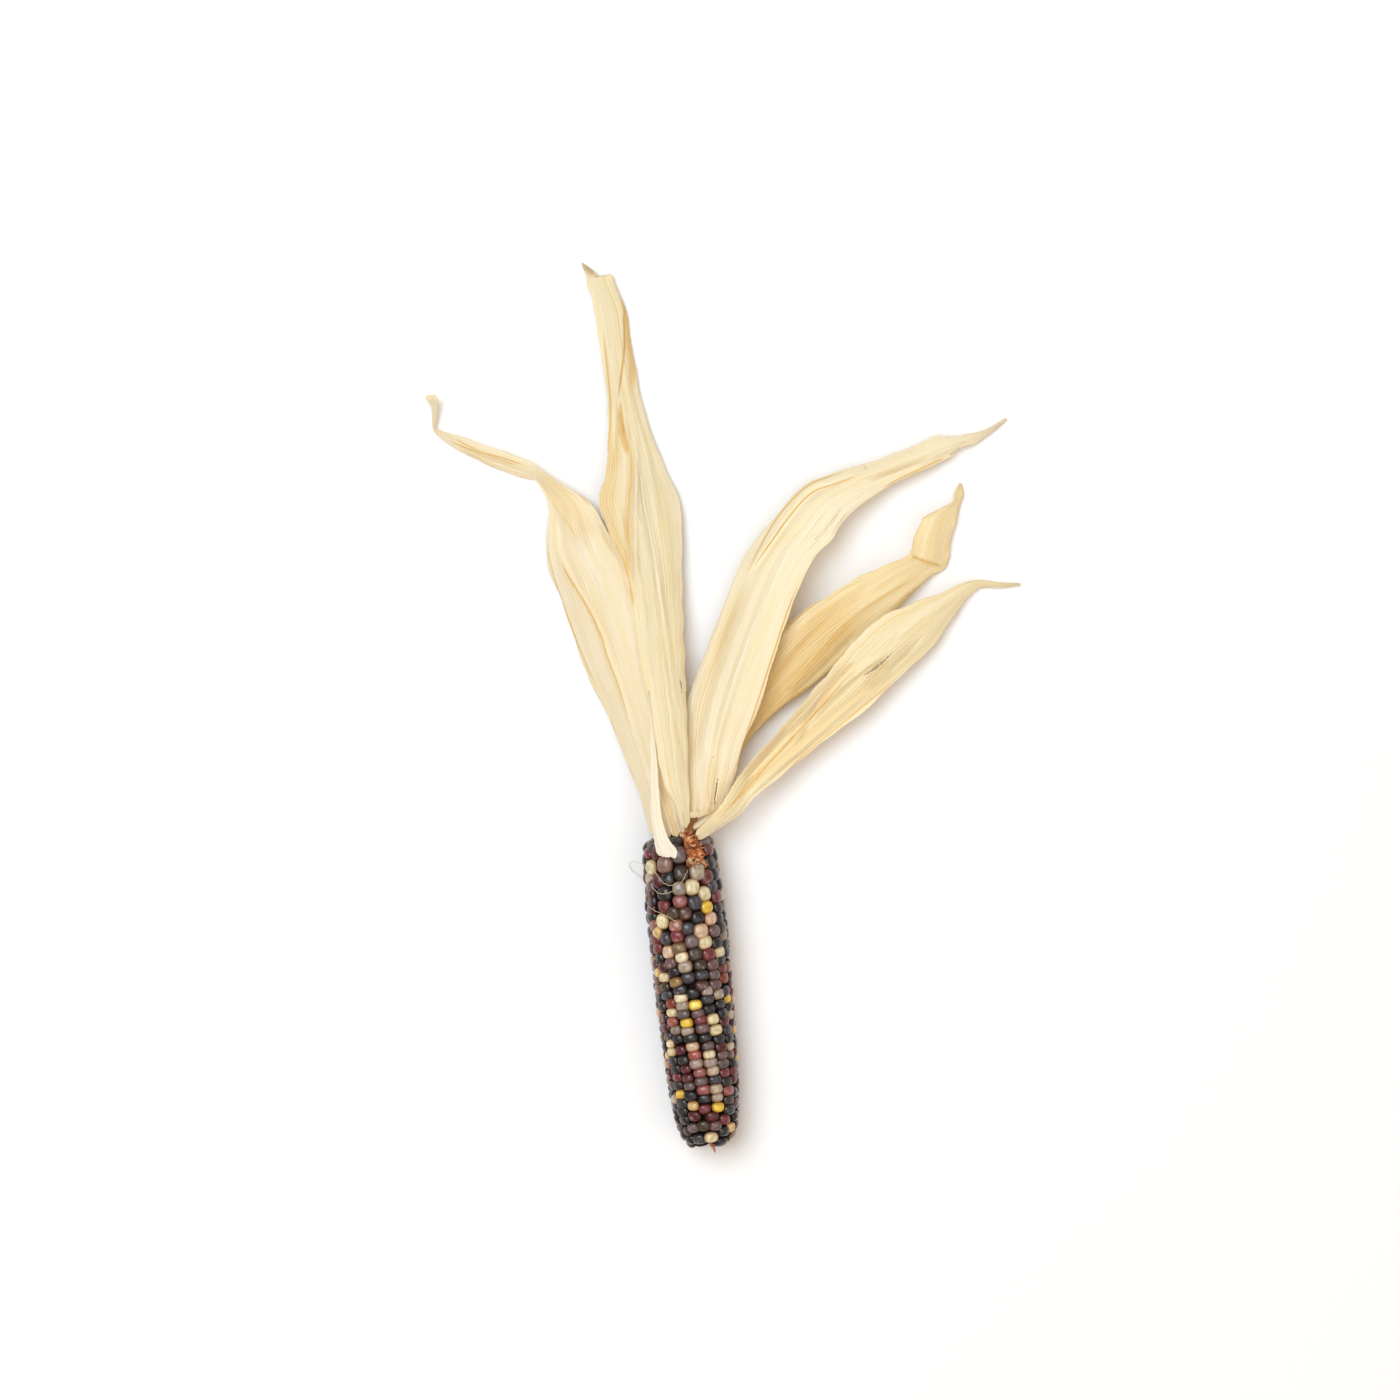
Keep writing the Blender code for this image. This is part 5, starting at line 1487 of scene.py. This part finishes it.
def make_roll():
    """A strip of leaf wound once and a bit round its own length."""
    draw = random.Random(48)
    rows = smooth_path(ROLL, ROLL_LINES + 1)
    turns = np.linspace(0.0, ROLL_TURNS * math.tau, ROLL_COLUMNS + 1)
    along = np.gradient(rows[:, :3], axis=0)
    along /= np.linalg.norm(along, axis=1)[:, None]
    side = np.cross(along, (0.0, 0.0, 1.0))
    side /= np.linalg.norm(side, axis=1)[:, None]
    up = np.cross(side, along)
    away = np.cos(turns)[None, :, None] * side[:, None] + np.sin(turns)[None, :, None] * up[:, None]
    shrink = 1.0 - 0.32 * turns / turns[-1]
    sheets = []
    for inset in (0.0, ROLL_THICKNESS):
        reach = (rows[:, 3:4] * shrink - inset) * (1.0 + 0.05 * waves(draw, 3.0, turns))[None, :]
        sheets.append((rows[:, None, :3] + reach[:, :, None] * away).reshape(-1, 3))
    faces = sheet_faces(np.ones((ROLL_LINES, ROLL_COLUMNS), bool))
    piece = new_piece("scrap_roll", np.concatenate(sheets), faces, scrap_finish, 55.0)
    lengths = np.linspace(0.0, ROLL_LENGTH / GRAIN_UNIT, ROLL_LINES + 1)
    widths = np.linspace(0.0, ROLL_WIDTH / GRAIN_UNIT, ROLL_COLUMNS + 1)
    grain = np.stack(np.meshgrid(lengths, widths, indexing="ij"), axis=-1).reshape(-1, 2)
    lay_map(piece, "grain", np.tile(grain, (2, 1)))
    return piece


finish_piece(make_roll(), "husk", "husk_roll")

# ---------------------------------------------------------------------------------------------------
# Silks. Dry hair-thin threads left from the flower: three lie over the kernels near the stalk end, and
# one falls beside the ear to the surface.

SILK_RADIUS = 0.11
SILK_LIFT = 0.45
SILK_SIDES = 8
SILK_WANDER = 0.12
# How many points a silk has from one of its stations to the next
SILK_STEPS = 10
SILKS_ON_EAR = (
    ((-12.2, -10.1), (-10.3, -13.7), (-7.7, -17.4), (-5.6, -18.6), (-3.4, -18.6), (-1.4, -17.4)),
    ((-13.2, -17.2), (-11.8, -20.3), (-9.0, -21.9), (-6.5, -21.7), (-3.4, -20.7), (1.4, -15.6), (2.9, -12.8)),
    ((-15.6, -26.6), (-12.7, -28.7), (-8.7, -30.8), (-5.9, -32.7), (-3.2, -34.3)),
)
SILK_BESIDE_EAR = (
    (-14.2, -9.8, 25.0), (-16.4, -9.2, 20.0), (-19.1, -8.0, 13.0), (-21.4, -8.9, 6.5),
    (-21.9, -10.3, 2.5), (-20.6, -12.7, 1.2), (-18.2, -14.7, 3.0), (-15.8, -16.4, 8.5),
)


def silk_finish():
    finish = Finish("dry_silk")
    tint = finish.noise(700.0, 2.0)
    colour = finish.mix(tint.step(0.3, 0.7), (0.62, 0.47, 0.25), (0.80, 0.70, 0.46))
    return finish.coat(colour, 0.45 + 0.15 * tint, tint, 0.02)


def silk_path(stations):
    return smooth_path(stations, SILK_STEPS * (len(stations) - 1) + 1)


dry_silk = silk_finish()
silk_paths = []
for plan in SILKS_ON_EAR:
    spots = silk_path(plan)
    reach = ear_radius(-spots[:, 1]) + SILK_LIFT
    heights = AXIS_HEIGHT + np.sqrt(np.maximum(reach ** 2 - spots[:, 0] ** 2, 1.0))
    silk_paths.append(np.column_stack((spots, heights)))
silk_paths.append(silk_path(SILK_BESIDE_EAR))
for number, path in enumerate(silk_paths, 1):
    draw = random.Random(50 + number)
    steps = np.arange(len(path)) * 0.5
    path = path + SILK_WANDER * np.column_stack([waves(draw, 5.0, steps) for _ in range(3)])
    path[:, 2] = np.maximum(path[:, 2], 0.4)
    radii = SILK_RADIUS * (1.0 - 0.5 * np.linspace(-1.0, 1.0, len(path)) ** 8)
    points = tube(path, radii, SILK_SIDES)
    thread = new_piece(f"silk_thread_{number}", points, ring_faces(len(path), SILK_SIDES), dry_silk)
    finish_piece(thread, "silk", f"silk_{number}")

# ---------------------------------------------------------------------------------------------------
# Tip. The dry end of the cob, rough and orange like the chaff, drawn out to a crooked point past the
# last kernels. It grew as one with the cob.

# Stations of the tip: the middle and the radius
TIP_SPIKE = ((0.5, -127.8, 17.0, 0.9), (1.2, -130.0, 18.0, 0.8), (1.9, -132.6, 19.5, 0.25))
TIP_RINGS = 26
TIP_SIDES = 20
TIP_CROOK = 0.12
TIP_LUMPS = 0.18
tip_rows = smooth_path(TIP_SPIKE, TIP_RINGS)
tip_steps = np.arange(TIP_RINGS)
draw = random.Random(61)
tip_rows[:, :3] += TIP_CROOK * np.column_stack([waves(draw, 6.0, tip_steps) for _ in range(3)])
tip_radii = tip_rows[:, 3] * (1.0 + TIP_LUMPS * waves(draw, 4.0, tip_steps))
tip_points = tube(tip_rows[:, :3], tip_radii, TIP_SIDES)
tip_finish = rough_chaff("tip_chaff", (0.40, 0.10, 0.035), (0.68, 0.27, 0.12), (0.84, 0.50, 0.30))
tip = new_piece("tip_point", tip_points, ring_faces(TIP_RINGS, TIP_SIDES), tip_finish)
finish_piece(tip, "chaff", "tip_spike")

# ---------------------------------------------------------------------------------------------------
# Surface, lights and camera. A plain white table top, a wide cool lamp to the upper left, a wider warm
# one to the lower right, and an even, warm room. The camera looks straight down on the ear, and is turned
# a little so that the ear leans as it lies.

FLOOR_HALF = 4.0
CAMERA_TURN = math.radians(-5.94)
# How wide a strip the camera takes in at the height of the ear's axis
FRAME_WIDTH = 588.0
SENSOR = 36.0
# Place, size, power and colour of each lamp
KEY_LAMP = ((-0.60, 0.57, 2.13), 1.53, 40.2, (0.785, 0.90, 1.0))
FILL_LAMP = ((0.60, -0.80, 2.27), 2.67, 16.9, (1.0, 0.96, 0.93))
ROOM_COLOUR = (1.0, 0.81, 0.64)
ROOM_STRENGTH = 0.45


def table_finish():
    finish = Finish("white_table")
    cloud = finish.noise(3.0, 2.0)
    grain = finish.noise(900.0, 2.0)
    colour = finish.mix(cloud, (0.93, 0.925, 0.92), (0.95, 0.945, 0.94))
    return finish.coat(colour, 0.8 + 0.1 * grain, grain, 0.01)


floor_mesh = bpy.data.meshes.new("table_top")
floor_corners = [(x * FLOOR_HALF, y * FLOOR_HALF, 0.0) for x, y in ((-1, -1), (1, -1), (1, 1), (-1, 1))]
floor_mesh.from_pydata(floor_corners, [], [(0, 1, 2, 3)])
floor_mesh.materials.append(table_finish())
floor = bpy.data.objects.new("table_top", floor_mesh)
bpy.context.scene.collection.objects.link(floor)


def soft_lamp(name, place, size, power, colour):
    lamp = bpy.data.lights.new(name, "AREA")
    lamp.shape = "DISK"
    lamp.size = size
    lamp.energy = power
    lamp.color = colour
    item = bpy.data.objects.new(name, lamp)
    item.location = place
    item.rotation_euler = (-Vector(place)).to_track_quat("-Z", "Y").to_euler()
    bpy.context.scene.collection.objects.link(item)


soft_lamp("key_lamp", *KEY_LAMP)
soft_lamp("fill_lamp", *FILL_LAMP)
world = bpy.data.worlds.new("pale_room")
world.use_nodes = True
room = world.node_tree.nodes["Background"].inputs
room["Color"].default_value = (*ROOM_COLOUR, 1.0)
room["Strength"].default_value = ROOM_STRENGTH
bpy.context.scene.world = world
bpy.context.scene.view_settings.view_transform = "Standard"

camera_data = bpy.data.cameras.new("camera")
camera_data.sensor_width = SENSOR
camera_data.lens = SENSOR * CAMERA_HEIGHT / FRAME_WIDTH
camera = bpy.data.objects.new("camera", camera_data)
camera.location = ORIGIN + np.array((*LOOK_AT, AXIS_HEIGHT + CAMERA_HEIGHT)) * MM
camera.rotation_euler = (0.0, 0.0, CAMERA_TURN)
bpy.context.scene.collection.objects.link(camera)
bpy.context.scene.camera = camera
